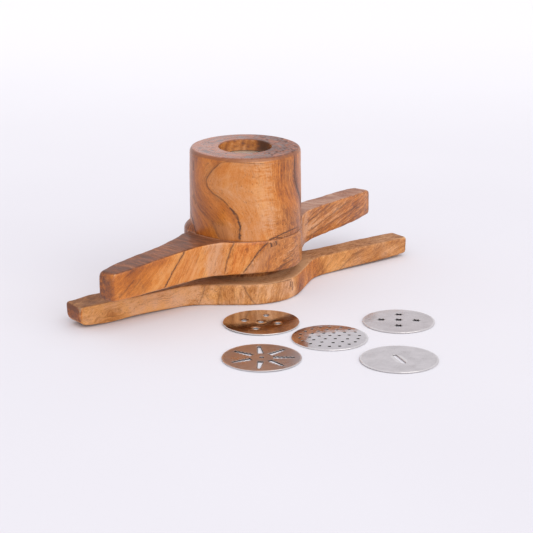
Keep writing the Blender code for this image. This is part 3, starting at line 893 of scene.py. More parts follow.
def barrel_tone(at):
    """How light the wood is, with painted shade on the outlet's right side, how rippled and how speckled."""
    x, y, z = at.x, at.y, at.z
    boss_x, boss_y = BOSS_REACH / MM * math.cos(BOSS_ANGLE), BOSS_REACH / MM * math.sin(BOSS_ANGLE)
    wall_specks = hump(at.straight, 14, 30, 60, 80) * (1 - ease(z, 66, 84))
    block_specks = ease(x, -18, -4) * (1 - 0.6 * ease(x, 38, 56)) * (1 - 0.5 * ease(z, 44, 54))
    speckle = np.where(at.wall, wall_specks, block_specks)
    figure = hump(at.straight, 11, 15, 28, 36) * at.wall

    block = read(BLOCK_TONE, x - read(BLOCK_LEAN, x) * (z - BLOCK_TOP / MM))
    upper_edge = hump(x, -164, -150, -112, -92) * ease(z, 46, 52) * (y < 0)
    lens = np.exp(-(((x + 124 - 0.8 * (z - 43)) / 11) ** 2) - ((z - 43) / 5) ** 2)
    cloud = waves(columns(x - 0.8 * z, 0.3 * y, 0.5 * z), 15, seed=27) * ease(-x, 98, 118)
    right_root = np.exp(-(((x - 66) / 18) ** 2))
    boss = (1 - ease(np.hypot(x - boss_x, y - boss_y), 18, 23)) * ease(z, 46, 54)
    block += np.where(at.front, 0.35 * lens + 0.22 * cloud + 0.45 * right_root, 0.0)
    block -= 0.35 * upper_edge + boss

    tone = np.where(at.wall, read(WALL_TONE, at.straight) - 0.2 * speckle, block)
    tone -= 0.6 * ease(x, at.tip - 3.0, at.tip - 0.9)
    tone -= 0.4 * ease(-x, at.left_tip - 3.0, at.left_tip - 0.9)
    # painted shade darkens the outlet's right side
    tone[at.outlet] = (-0.12 - 1.5 * at.outlet_shaded_side + 0.3 * waves(at.points, 4.5, seed=25))[at.outlet]
    speckle[at.outlet] = 0.5
    return columns(tone, figure, speckle)


def barrel_streak(at):
    """How strongly the wood is streaked, its hue, and how far painted shade darkens the outlet's right side.
    """
    x, z = at.x, at.z
    streak = np.where(at.wall, read(WALL_STREAK, at.straight), 1.15 + 0.45 * ease(x, 45, 70))
    streak -= np.where(at.front, 0.25 * ease(-x, 20, 60) + 0.3 * ease(-x, 98, 118), 0.0)
    streak[at.outlet] = 0.9
    pink_band = hump(at.straight, -41, -36, -22, -15) * ease(z, 64, 76)
    hue = read(BLOCK_HUE, x + 0.73 * (BLOCK_TOP / MM - z) * ease(x, -50, -40))
    hue[at.wall] = (read(WALL_HUE, at.straight) - 2.6 * pink_band)[at.wall]
    hue[at.outlet] = 1.3
    return columns(streak, hue, np.where(at.outlet, 0.55 * at.outlet_shaded_side, 0.0))


def barrel_tops_wear_and_shade(at):
    """How light the tops are, in part a painted sheen; how worn the edges are; and the dark pits in the
    cylinder's top, with dirt and painted shade on the tops next to the cylinder.
    """
    x, z = at.x, at.z
    near = 1 - ease(at.radius, 48.0, 51.0)
    pits = np.zeros(len(x))
    for away, width in pit_distances(x, at.y):
        pits = np.maximum(pits, ease(z, 120.5, 122.0) * np.exp(-((away / width) ** 2)))
    # The cylinder's top is painted lighter on its left and darker on its right, a painted sheen; the right
    # handle's top is lighter, partly its wood and partly painted sheen
    handle_cap = 0.45 * ease(x, 30, 70) - 0.2 * ease(x, 125, 155) - 0.06 + 0.45 * near
    cap = np.where(at.wall, -0.29 * np.sin(np.radians(at.bearing)), handle_cap)
    wear = 0.12 + 0.8 * ease(-x, at.left_tip - 8, at.left_tip - 3) * ease(z, 46, 51)
    # dirt and painted shade darken the tops in the corner by the cylinder's foot
    root_dirt_and_shade = 0.50 * np.exp(-np.maximum(at.radius - 46, 0) / 13.0) * ease(z, 50, 54) * (1 - near)
    return columns(cap, wear, np.where(at.wall, pits, root_dirt_and_shade))


def grain_barrel(mesh):
    at = BarrelPoints(mesh)
    outer = at.wall & (at.radius > 38)
    around = np.radians(at.bearing) * CYLINDER_FOOT_RADIUS / MM
    surfaces = sides(~at.wall, at.x, at.y, at.z)
    surfaces["wall"] = (outer, columns(around, at.z)[outer])
    store(mesh, "grain", barrel_grain(at))
    store(mesh, "tone", barrel_tone(at))
    store(mesh, "streak", barrel_streak(at))
    store(mesh, "tops_wear_and_shade", barrel_tops_wear_and_shade(at))
    store(mesh, "vein", vein_field(BARREL_VEINS, surfaces, len(at.x)))
    store(mesh, "edge", edge_field(mesh))


def plunger_low(x):
    run = max(abs(x) - PLUNGER_LIFT_START, 0.0) / (PLUNGER_HALF_LENGTH - PLUNGER_LIFT_START)
    return PLUNGER_TIP_LIFT * run**2


def plunger_high(x):
    return PLUNGER_THICKNESS


def ram_shape():
    foot = (RAM_RADIUS + RAM_FOOT_FILLET, PLUNGER_THICKNESS + RAM_FOOT_FILLET)
    end = (RAM_RADIUS - RAM_END_ROUND, RAM_END - RAM_END_ROUND)
    profile = [(0.0, PLUNGER_THICKNESS / 2), (foot[0], PLUNGER_THICKNESS / 2)]
    profile += arc(foot, (RAM_FOOT_FILLET, RAM_FOOT_FILLET), -math.pi / 2, -math.pi, 6)
    profile += arc(end, (RAM_END_ROUND, RAM_END_ROUND), 0.0, math.pi / 2, 6)
    profile += [(0.0, RAM_END)]
    return turned("ram", filled_in(profile, RAM_STEP), RAM_SEGMENTS)


def make_plunger():
    plan = BarPlan(**PLUNGER_OUTLINE)
    rounds = (PLUNGER_LOW_ROUNDS, PLUNGER_TOP_ROUNDS)
    plunger = bar("plunger_bar_and_ram", plan, plunger_low, plunger_high, *rounds)
    remeshed(plunger, VOXEL)
    softened(plunger.data, SOFTENING_ROUNDS)
    points = points_of(plunger.data)
    x, y, z = points.T
    worked = hand_worked(points, CUT_BUMPS, seed=31) * ease(z, *PLUNGER_CUT_HEIGHT)
    points += normals_of(plunger.data) * worked[:, None]
    full = ease(-x, *ARM_BACK_RUN) * (1 - 0.6 * ease(-x, *ARM_BACK_FADE)) * ease(y, *ARM_BACK_DEPTH)
    y += ARM_BACK_FULLNESS * full
    z += ARM_BACK_RISE * full * ease(z, *ARM_BACK_HEIGHT)
    lifted = ease(abs(x), *ARM_LIFT_RUN) * (1 - ease(-x, *ARM_LIFT_LEFT_FADE))
    lifted *= 1 - 0.6 * ease(x, *ARM_LIFT_RIGHT_FADE)
    z += ARM_UNDERSIDE_LIFT * lifted * (1 - ease(z, *ARM_LIFT_HEIGHT))
    x += PLUNGER_LEFT_CUT * ease(-x, *LEFT_CUT_RUN)
    set_points(plunger.data, points)
    combined(plunger, "UNION", ram_shape())
    grain_plunger(plunger.data)
    finish_piece(plunger, plunger_wood())
    return plunger


def grain_plunger(mesh):
    x, y, z = (points_of(mesh) / MM).T
    thickness = PLUNGER_THICKNESS / MM
    tip = PLUNGER_HALF_LENGTH / MM
    left_tip = tip - PLUNGER_LEFT_CUT / MM
    ram = z > thickness + 0.5
    across, along = slanted(x, z - thickness / 2, PLUNGER_LEAN)
    swirl = columns(x, y, 2 * z)
    across += 1.6 * waves(swirl, 34, seed=42) + 0.5 * waves(swirl, 11, seed=43)
    store(mesh, "grain", columns(across + 700, y, along))
    tone = read(PLUNGER_TONE, x) + 0.22 * waves(columns(x, 0.3 * y, z), 24, seed=41)
    tone -= 0.7 * ease(x, tip - 2.2, tip - 0.8) + 1.05 * ease(-x, left_tip - 1.8, left_tip - 0.6)
    # painted shade on the ram's lower part, under the barrel
    tone -= 0.9 * ram * (1 - ease(z, 26, 48))
    store(mesh, "tone", columns(tone, 0 * x, 0.35 + 0.4 * ease(x, 20, 50)))
    streak = 1.25 - 0.25 * ease(-x, 55, 90) - 0.4 * ease(x, 62, 90)
    store(mesh, "streak", columns(streak, read(PLUNGER_HUE, x), 0 * x))
    # the bar's top is painted lighter in its middle: painted light where it lies under the barrel
    cap = 0.55 * (1 - ease(abs(x), 45, 85)) + 0.27 * ease(x, 60, 100) + 0.10 * ease(-x, 60, 100)
    front_corner = ease(-x, left_tip - 6, left_tip - 3) * ease(-y, 5, 8)
    wear = 0.06 + 0.5 * ease(x, tip - 14, tip - 4) + front_corner * (0.7 - 0.4 * ease(z, 14, 16))
    # painted shade on the bar's top round the ram's foot, under the barrel; on the plunger this channel
    # holds only painted shade
    by_ram = (1 - ease(np.hypot(x, y), 31, 43)) * ease(z, 15, 17.4)
    pits_dirt_and_shade = 0.65 * by_ram * (1 - 0.75 * ease(x, -30, 0))
    store(mesh, "tops_wear_and_shade", columns(cap, wear, pits_dirt_and_shade))
    store(mesh, "vein", vein_field(PLUNGER_VEINS, sides(~ram, x, y, z), len(x)))
    store(mesh, "edge", edge_field(mesh))


def finish_piece(piece, material, sharp=40):
    piece.data.materials.clear()
    piece.data.materials.append(material)
    piece.data.shade_smooth()
    piece.data.set_sharp_from_angle(angle=math.radians(sharp))


# Plates


def star(centre):
    points = []
    for i in range(2 * STAR_POINTS):
        radius = STAR_INNER_RADIUS if i % 2 else STAR_OUTER_RADIUS
        angle = math.pi * i / STAR_POINTS
        points.append((centre[0] + radius * math.cos(angle), centre[1] + radius * math.sin(angle)))
    return points


def ring_places(radius, count):
    turns = [2 * math.pi * i / count for i in range(count)]
    return [(radius * math.cos(t), radius * math.sin(t)) for t in turns]


def five_hole_openings():
    reach_x, reach_y = ROUND_HOLE_REACH
    places = [(0.0, 0.0), (reach_x, 0.0), (0.0, reach_y), (-reach_x, 0.0), (0.0, -reach_y)]
    return [circle(place, ROUND_HOLE_RADIUS, 40) for place in places]


def star_openings():
    return [star(place) for place in [(0.0, 0.0)] + ring_places(STAR_CIRCLE, 4)]


def fine_openings():
    hand = random.Random(FINE_SEED)
    openings = [circle((0.0, 0.0), FINE_HOLE_RADIUS, 24)]
    for ring in range(1, FINE_RINGS + 1):
        for x, y in ring_places(FINE_RING_STEP * ring, 6 * ring):
            x += hand.uniform(-FINE_JITTER, FINE_JITTER)
            y += hand.uniform(-FINE_JITTER, FINE_JITTER)
            openings.append(circle((x, y), FINE_HOLE_RADIUS, 24))
    return openings


def ribbon_openings():
    pitch = (RIBBON_END - RIBBON_START) / (2 * RIBBON_TEETH)
    side = []
    for i in range(2 * RIBBON_TEETH + 1):
        tooth = RIBBON_TOOTH if i % 2 else 0.0
        narrowed = (RIBBON_INNER_HALF_WIDTH - RIBBON_OUTER_HALF_WIDTH) * i / (2 * RIBBON_TEETH)
        side.append((RIBBON_START + pitch * i, RIBBON_INNER_HALF_WIDTH - narrowed - tooth))
    slot = side + [(x, -y) for x, y in reversed(side)]
    openings = [circle((0.0, 0.0), RIBBON_CENTRE_HOLE, 24)]
    for degrees in RIBBON_ANGLES:
        c, s = math.cos(math.radians(degrees)), math.sin(math.radians(degrees))
        openings.append([(c * x - s * y, s * x + c * y) for x, y in slot])
    return openings


def slot_openings():
    straight = SLOT_HALF_LENGTH - SLOT_HALF_WIDTH
    radii = (SLOT_HALF_WIDTH, SLOT_HALF_WIDTH)
    right = arc((straight, 0.0), radii, -math.pi / 2, math.pi / 2, 10)
    left = arc((-straight, 0.0), radii, math.pi / 2, 3 * math.pi / 2, 10)
    return [right + left]


def offset(outline, amount):
    """The outline moved outwards by this amount, or inwards by a negative one."""
    points = np.array(outline)
    following = np.roll(points, -1, axis=0)
    if np.sum(points[:, 0] * following[:, 1] - following[:, 0] * points[:, 1]) < 0:
        amount = -amount
    after = following - points
    after /= np.linalg.norm(after, axis=1)[:, None]
    before = np.roll(after, 1, axis=0)
    out = columns(after[:, 1] + before[:, 1], -after[:, 0] - before[:, 0])
    length = np.maximum(np.sum(out * out, axis=1) / 2, 0.6)
    return points + amount * out / length[:, None]


def inside(places, outline):
    """Whether each place lies inside the outline."""
    points = np.array(outline)
    x, y = places.T
    found = np.zeros(len(places), bool)
    for (x0, y0), (x1, y1) in zip(points, np.roll(points, -1, axis=0)):
        crosses = (y0 > y) != (y1 > y)
        with np.errstate(divide="ignore", invalid="ignore"):
            found ^= crosses & (x < (x1 - x0) * (y - y0) / (y1 - y0) + x0)
    return found


def sheet_places(radius, openings):
    """Places that divide a disc evenly, with closer rings of them round its openings."""
    steps = int(radius / SHEET_STEP) + 1
    spots = [
        ((i + 0.5 * (j % 2)) * SHEET_STEP, j * SHEET_STEP * math.sqrt(3) / 2)
        for j in range(-steps - 3, steps + 4)
        for i in range(-steps - 1, steps + 2)
    ]
    spots = np.array(spots)
    rings = np.vstack([offset(cut, gap) for cut in openings for gap in DIMPLE_RINGS])
    kept = np.hypot(*spots.T) < radius - SPOT_RIM_GAP
    sound = np.hypot(*rings.T) < radius - RING_RIM_GAP
    for cut in openings:
        kept &= ~inside(spots, offset(cut, DIMPLE_RINGS[-1] + SPOT_CUT_GAP))
        sound &= ~inside(rings, offset(cut, RING_CUT_GAP))
    return [*spots[kept], *rings[sound]]


def sheet_lift(radius, openings, warp, dome, dimple, seed):
    """A function that gives how far a sheet's warp, dome and dimples lift a place on it."""
    centres = [np.mean(cut, axis=0) for cut in openings]
    reaches = [np.mean(np.hypot(*(np.array(cut) - c).T)) for cut, c in zip(openings, centres)]

    def lift(x, y):
        bend = (x * math.cos(seed) + y * math.sin(seed)) / radius
        twist = (x * math.sin(seed) - y * math.cos(seed)) / radius
        height = warp * (0.5 * bend * bend + 0.28 * bend * twist + 0.16 * math.sin(4 * twist + seed))
        height += dome * (1 - bend * bend - twist * twist)
        for (cx, cy), reach in zip(centres, reaches):
            past = max(math.hypot(x - cx, y - cy) - reach, 0.0) / DIMPLE_WIDTH
            height += dimple * math.exp(-past * past)
        return height

    return lift


def make_plate(name, radius, openings, place, turn, base, form, look):
    """A disc of sheet steel with eased edges, a slight warp, and openings with dimples round them."""
    rim = circle((0.0, 0.0), radius, DISC_SEGMENTS)
    eased = [offset(rim, -PLATE_EDGE)] + [offset(cut, PLATE_EDGE) for cut in openings]
    points, edges = [], []
    for cut in eased:
        first = len(points)
        points += [Vector(p) for p in cut]
        edges += [(first + i, first + (i + 1) % len(cut)) for i in range(len(cut))]
    points += [Vector(p) for p in sheet_places(radius, openings)]
    flat, _, triangles, origin, _, _ = delaunay_2d_cdt(points, edges, [], 0, 1e-8)
    where = {old: new for new, olds in enumerate(origin) for old in olds}
    middles = np.array([np.mean([flat[i] for i in t], axis=0) for t in triangles])
    solid = inside(middles, eased[0])
    for cut in eased[1:]:
        solid &= ~inside(middles, cut)

    lift = sheet_lift(radius, openings, *form)
    builder = bmesh.new()
    walls = builder.verts.layers.float.new("cut")

    def layer(places, height):
        return [builder.verts.new((x, y, height + lift(x, y))) for x, y in places]

    top = layer(flat, PLATE_THICKNESS)
    bottom = layer(flat, 0.0)
    for triangle, keep in zip(triangles, solid):
        if keep:
            builder.faces.new([top[i] for i in triangle])
            builder.faces.new([bottom[i] for i in reversed(triangle)])
    first = 0
    for cut in [rim] + openings:
        around = [where[first + i] for i in range(len(cut))]
        first += len(cut)
        high = layer(cut, PLATE_THICKNESS - PLATE_EDGE)
        low = layer(cut, PLATE_EDGE)
        for v in high + low:
            v[walls] = 0.0 if cut is rim else 1.0
        loops = ([top[i] for i in around], high, low, [bottom[i] for i in around])
        for near, far in zip(loops, loops[1:]):
            bridge(builder, near, far)
    loose = [v for v in builder.verts if not v.link_faces]
    bmesh.ops.delete(builder, geom=loose, context="VERTS")
    lowest = min(v.co.z for v in builder.verts)
    for v in builder.verts:
        v.co.z -= lowest
    plate = add_mesh(name, builder)
    store(plate.data, "edge", edge_field(plate.data, 2))
    finish_piece(plate, look, sharp=25)
    plate.data.transform(Matrix.Rotation(math.radians(turn), 4, "Z"))
    plate.location = (*place, base)
    return plate


# Materials


class Field:
    """A shader node's output, for use in sums, differences, products and steps."""

    def __init__(self, graph, socket):
        self.graph = graph
        self.socket = socket

    def __add__(self, other):
        return self.graph.math("ADD", self, other)

    def __sub__(self, other):
        return self.graph.math("SUBTRACT", self, other)

    def __rsub__(self, other):
        return self.graph.math("SUBTRACT", other, self)

    def __mul__(self, other):
        return self.graph.math("MULTIPLY", self, other)

    def __truediv__(self, other):
        return self.graph.math("DIVIDE", self, other)

    def __abs__(self):
        return self.graph.math("ABSOLUTE", self)

    def at_least(self, other):
        return self.graph.math("MAXIMUM", self, other)

    def at_most(self, other):
        return self.graph.math("MINIMUM", self, other)

    def step(self, start, end, low=0.0, high=1.0):
        inputs = {"Value": self, 1: start, 2: end, 3: low, 4: high}
        return self.graph.node("ShaderNodeMapRange", inputs, interpolation_type="SMOOTHSTEP")


class Graph:
    """Short ways to make a material of shader nodes. Colours are given as red, green and blue."""

    def __init__(self, name):
        self.material = bpy.data.materials.new(name)
        self.material.use_nodes = True
        self.tree = self.material.node_tree

    def put(self, socket, value):
        if isinstance(value, Field):
            self.tree.links.new(value.socket, socket)
        else:
            socket.default_value = (*value, 1.0) if socket.type == "RGBA" else value

    def new(self, kind, inputs=(), **settings):
        made = self.tree.nodes.new(kind)
        for key, value in settings.items():
            setattr(made, key, value)
        for key, value in dict(inputs).items():
            self.put(made.inputs[key], value)
        return made

    def node(self, kind, inputs=(), output=0, **settings):
        return Field(self, self.new(kind, inputs, **settings).outputs[output])

    def math(self, operation, a, b=0.0):
        return self.node("ShaderNodeMath", {0: a, 1: b}, operation=operation)

    def vector(self, operation, a, b=(0.0, 0.0, 0.0), output=0):
        return self.node("ShaderNodeVectorMath", {0: a, 1: b}, output, operation=operation)

    def mix(self, factor, a, b, blend="MIX"):
        inputs = {0: factor, 6: a, 7: b}
        return self.node("ShaderNodeMix", inputs, 2, data_type="RGBA", blend_type=blend)

    def parts(self, vector):
        return [Field(self, part) for part in self.new("ShaderNodeSeparateXYZ", {0: vector}).outputs]

    def attribute(self, name, output="Fac"):
        return self.node("ShaderNodeAttribute", output=output, attribute_name=name)

    def place(self, scale=(1.0, 1.0, 1.0)):
        """Places in the piece's own frame, scaled along each axis."""
        return self.vector("MULTIPLY", self.node("ShaderNodeTexCoord", output="Object"), scale)

    def texture(self, kind, vector, size, **inputs):
        inputs["Vector"] = self.vector("MULTIPLY", vector, tuple(1 / s for s in size))
        return self.node(kind, {**inputs, "Scale": 1.0})

    def noise(self, vector, size, detail=2.0, roughness=0.5, distortion=0.0):
        """Noise whose bumps have this size along each axis, centred on 0."""
        settings = {"Detail": detail, "Roughness": roughness, "Distortion": distortion}
        return self.texture("ShaderNodeTexNoise", vector, size, **settings) - 0.5

    def ramp(self, value, stops):
        made = self.new("ShaderNodeValToRGB", {0: value})
        ends = made.color_ramp.elements
        while len(ends) < len(stops):
            ends.new(0.5)
        for end, (position, colour) in zip(ends, stops):
            end.position = position
            end.color = (*colour, 1.0)
        return Field(self, made.outputs[0])

    def bump(self, height, strength, distance):
        inputs = {"Strength": strength, "Distance": distance, "Height": height}
        return self.node("ShaderNodeBump", inputs)

    def surface(self, inputs):
        for key, value in inputs.items():
            self.put(self.tree.nodes["Principled BSDF"].inputs[key], value)
        return self.material


class Wood(Graph):
    """The shader nodes of a wooden piece: the fields that its mesh carries, and noise."""

    def __init__(self, name):
        super().__init__(name)
        self.grain = self.attribute("grain", "Vector")
        self.tone, self.figure, self.speckle = self.parts(self.attribute("tone", "Vector"))
        self.streak, self.hue, self.dim = self.parts(self.attribute("streak", "Vector"))
        self.cap, self.wear, self.pits_dirt_and_shade = self.parts(self.attribute("tops_wear_and_shade", "Vector"))
        self.distance, self.strength, self.half_width = self.parts(self.attribute("vein", "Vector"))
        self.edge = self.attribute("edge")
        self.body = self.place(IN_MM)
        self.height = self.parts(self.body)[2]
        self.facing = self.parts(self.node("ShaderNodeTexCoord", output="Normal"))[2]
        self.high = self.height.step(100.0, 112.0)
        self.end_grain = self.facing.step(0.62, 0.93)
        self.turned_end = self.end_grain * self.high

        # Streaks along the grain, and marks that are alike every way
        self.middle = self.strands(2.6, 46, 4.0, 0.66, 0.3)
        self.fine = self.strands(0.62, 13, 3.0, 0.6)
        self.hair = self.strands(0.26, 7, 2.0, 0.6)
        self.mottle = self.strands(2.2, 5.0, 4.0, 0.65, 0.6)
        self.ripple = self.strands(7, 1.7, 3.0, 0.6, 0.6)
        self.fleck = self.clouds(1.1, 3.0, 0.65)
        self.blotch = self.clouds(24, 3.0, 0.55)

        # Marks of end grain, and broken rings from turning on the cylinder's top
        self.dash = self.noise(self.grain, (0.45, 1.6, 2), 3.0, 0.65)
        self.rings = self.noise(self.grain, (2.3, 20, 8), 3.0, 0.6, 0.5)
        self.turning = self.noise(self.polar(), (5.0, 16, 16), 1.0, 0.5, 0.6)
        self.smear = self.clouds(8.0, 1.0, 0.5, 1.5)
        self.squiggle = self.clouds(4.5, 1.0, 0.6, 1.0).step(0.06, 0.20) * self.cap.step(0.05, -0.25)

    def strands(self, across, along, *settings):
        return self.noise(self.grain, (across, across, along), *settings)

    def clouds(self, size, *settings):
        return self.noise(self.body, (size, size, size), *settings)

    def polar(self):
        """Distance from the axis in mm, then the place on a circle of 20 mm round it."""
        flat = self.place((1000.0, 1000.0, 0.0))
        heading = self.vector("MULTIPLY", self.vector("NORMALIZE", flat), (20.0, 20.0, 0.0))
        x, y, _ = self.parts(heading)
        reach = self.vector("LENGTH", flat, output="Value")
        return self.node("ShaderNodeCombineXYZ", {0: reach, 1: x, 2: y})


def streaked(w, palette):
    broad = w.strands(11, 80, 2.0, 0.5, 0.4)
    curl = w.strands(5, 9, 3.0, 0.55, 1.5)
    streaks = broad * 1.4 + w.middle * 1.75 + w.fine * 1.35 + w.hair * 0.8 + w.mottle * 1.1
    level = w.tone + streaks * w.streak + w.ripple * w.figure * 2.0
    level += w.fleck * 0.75 + w.blotch * 0.55 + curl * 0.7
    return w.ramp(level.step(-1.15, 1.15), palette)


def hued(w, colour):
    """The hue drifts between golden and pinkish."""
    drift = w.clouds(17, 3.0, 0.6) + w.speckle * 0.05 + w.hue * 0.15
    tint = w.mix(drift.step(-0.20, 0.24), (1.02, 0.95, 0.72), (0.96, 1.03, 1.40))
    colour = w.mix(1.0, colour, tint, "MULTIPLY")
    colour = w.mix(w.hue.step(-1.0, -2.4), colour, (1.04, 0.80, 0.42), "MULTIPLY")
    return w.mix(w.hue.step(0.8, 2.6, 0.0, 0.7), colour, (0.47, 0.205, 0.088))


def lined(w, colour, dark):
    """Growth lines: thin dark contours of a slow field across the grain."""
    slow = w.strands(7, 150, 2.0, 0.5, 0.3)
    contour = abs(w.math("FRACT", slow * 9.0) - 0.5)
    broken = w.strands(4, 22).step(-0.12, 0.16)
    return w.mix(contour.step(0.13, 0.0) * broken * w.streak * 0.42, colour, dark)


def pored(w, colour, dark):
    """Pores, short strokes drawn out along the grain, and dense specks where the wood is speckled."""
    pore = w.texture("ShaderNodeTexVoronoi", w.grain, (0.8, 0.8, 4.2)).step(0.30, 0.10)
    dense = w.texture("ShaderNodeTexVoronoi", w.grain, (1.1, 1.1, 1.8)).step(0.50, 0.18)
    stroke = w.strands(0.85, 4.6, 2.0, 0.6).step(0.08, 0.20)
    pores = pore * w.strands(6, 30).step(-0.10, 0.14)
    specks = dense * w.speckle * w.strands(3.4, 7, 3.0, 0.6).step(-0.16, 0.12)
    strokes = stroke * w.strands(9, 16).step(-0.14, 0.14) * (w.speckle + 0.22)
    dots = pores.at_least(specks).at_least(strokes)
    return w.mix(dots * 0.62, colour, dark), dots


def veined(w, colour, stain_colour, vein_colour):
    """Veins, ragged along their edges, with a stain beside them."""
    rag = w.strands(1.0, 1.4, 3.0, 0.7) * 1.5 + w.strands(4, 3.4) * 2.0
    away = abs(w.distance + rag * (w.half_width * 2.6 - 0.35).at_most(1.5))
    thinned = w.strands(4, 3.2).step(-0.30, 0.05, 0.45, 1.0)
    core = (away / w.half_width).step(1.7, 0.4) * w.strength * thinned
    stain = away.step(2.6, 0.0) * w.strength
    colour = w.mix(stain * 0.30, colour, stain_colour)
    return w.mix(core * 0.9, colour, vein_colour), core


def topped(w, colour, palette, end_cut):
    """The tops: end grain or long grain, the cylinder's turned top with its rim, dark pits, dirt and painted
    shade on the tops, and painted shade on the outlet's right side.
    """
    if end_cut:
        lines = w.rings * 1.5 + w.dash * 0.8
    else:
        lines = w.middle * 1.3 + w.fine * 0.9 + w.mottle * 0.7
    end_colour = w.ramp(w.cap + lines + w.blotch * 0.7 + 0.44, palette)
    marks = w.smear * 2.2 + w.turning * 2.0 + w.rings * 0.2 - w.squiggle
    end_colour = w.mix(w.high, end_colour, w.ramp(w.cap + marks + 0.50, TURNED_PALETTE))
    colour = w.mix(w.end_grain * 0.95, colour, end_colour)
    rim = w.facing.step(0.15, 0.42) * w.facing.step(0.965, 0.86) * w.height.step(112.0, 116.0)
    colour = w.mix(rim * 0.72, colour, (0.215, 0.072, 0.028))
    # dark pits, dirt and painted shade darken the tops
    colour = w.mix(w.pits_dirt_and_shade * w.end_grain * 0.8, colour, (0.045, 0.015, 0.008))
    # painted shade on the outlet's right side
    return w.mix(w.dim, colour, (0.035, 0.012, 0.006))


def handled(w, colour, worn_colour):
    """Worn edges, darker hollows, and patches made darker and redder by oil and hands."""
    scuff = w.clouds(2.4, 4.0, 0.7)
    worn = (w.edge + scuff * 0.5).step(0.22, 0.42) * w.facing.step(-0.5, 0.2) * w.wear
    hollow_darkening = (w.edge + scuff * 0.10).step(-0.07, -0.26)
    oiled = w.noise(w.body, (38, 38, 30), 3.0, 0.5).step(-0.16, 0.20)
    colour = w.mix(worn * 0.7, colour, worn_colour)
    colour = w.mix(hollow_darkening * 0.45, colour, (0.035, 0.014, 0.008))
    return w.mix(oiled * 0.20, colour, (0.84, 0.66, 0.56), "MULTIPLY")


def wood(name, palette, cap_palette, vein_colour, worn_colour, roughness, coat, end_cut):
    """Oiled, handled wood whose tops show end grain where end_cut is set, and long grain otherwise."""
    w = Wood(name)
    dark, stained = (tuple(share * c for c in palette[1][1]) for share in (0.30, 0.62))
    colour = hued(w, streaked(w, palette))
    colour, dots = pored(w, lined(w, colour, dark), dark)
    colour, core = veined(w, colour, stained, vein_colour)
    colour = handled(w, topped(w, colour, cap_palette, end_cut), worn_colour)
    shine = w.blotch * 0.22 + w.fleck * 0.14 + dots * 0.18 + core * 0.20 + w.end_grain * 0.22
    turned_shine = w.turning * 0.35 + w.smear + w.squiggle * 0.35 - w.cap * 0.5 - 0.20
    shine += turned_shine * w.turned_end + roughness
    side_relief = (w.fine * 0.6 + w.middle * 0.5) * w.streak + w.hair * 0.30
    side_relief += w.ripple * w.figure * 0.6 + w.fleck * 0.35 - dots * 0.6 - core * 0.8
    end_relief = w.dash * 0.4 + w.rings * 0.5 if end_cut else side_relief
    turned_relief = w.turning * 1.8 + w.smear * 3.0 - w.squiggle * 0.8
    relief = side_relief * (1.0 - w.end_grain) + end_relief * (w.end_grain - w.turned_end)
    relief += turned_relief * w.turned_end
    return w.surface({
        "Base Color": colour,
        "Roughness": shine.at_least(0.12),
        "Normal": w.bump(relief, 0.4, 0.0003),
        "IOR": 1.5,
        "Specular IOR Level": 0.40,
        "Coat Weight": coat,
        "Coat Roughness": 0.13,
    })


def barrel_wood():
    palette = (
        (0.0, (0.110, 0.030, 0.010)),
        (0.24, (0.300, 0.084, 0.012)),
        (0.48, (0.440, 0.138, 0.016)),
        (0.70, (0.545, 0.190, 0.030)),
        (1.0, (0.650, 0.310, 0.115)),
    )
    # the lightest stop is pale and pinkish, partly a painted sheen on the lightest tops
    cap_palette = (
        (0.0, (0.054, 0.015, 0.004)),
        (0.38, (0.160, 0.044, 0.012)),
        (0.66, (0.290, 0.096, 0.030)),
        (1.0, (0.435, 0.232, 0.145)),
    )
    vein_colour = (0.045, 0.015, 0.008)
    worn_colour = (0.62, 0.36, 0.18)
    return wood("barrel_oiled_wood", palette, cap_palette, vein_colour, worn_colour, 0.36, 0.20, True)


def plunger_wood():
    palette = (
        (0.0, (0.130, 0.042, 0.012)),
        (0.24, (0.300, 0.108, 0.026)),
        (0.48, (0.430, 0.172, 0.044)),
        (0.70, (0.520, 0.232, 0.074)),
        (1.0, (0.690, 0.360, 0.155)),
    )
    cap_palette = (
        (0.0, (0.080, 0.030, 0.012)),
        (0.38, (0.200, 0.078, 0.026)),
        (0.66, (0.370, 0.165, 0.060)),
        (1.0, (0.560, 0.310, 0.155)),
    )
    vein_colour = (0.10, 0.042, 0.022)
    worn_colour = (0.70, 0.50, 0.30)
    return wood("plunger_oiled_wood", palette, cap_palette, vein_colour, worn_colour, 0.46, 0.03, False)


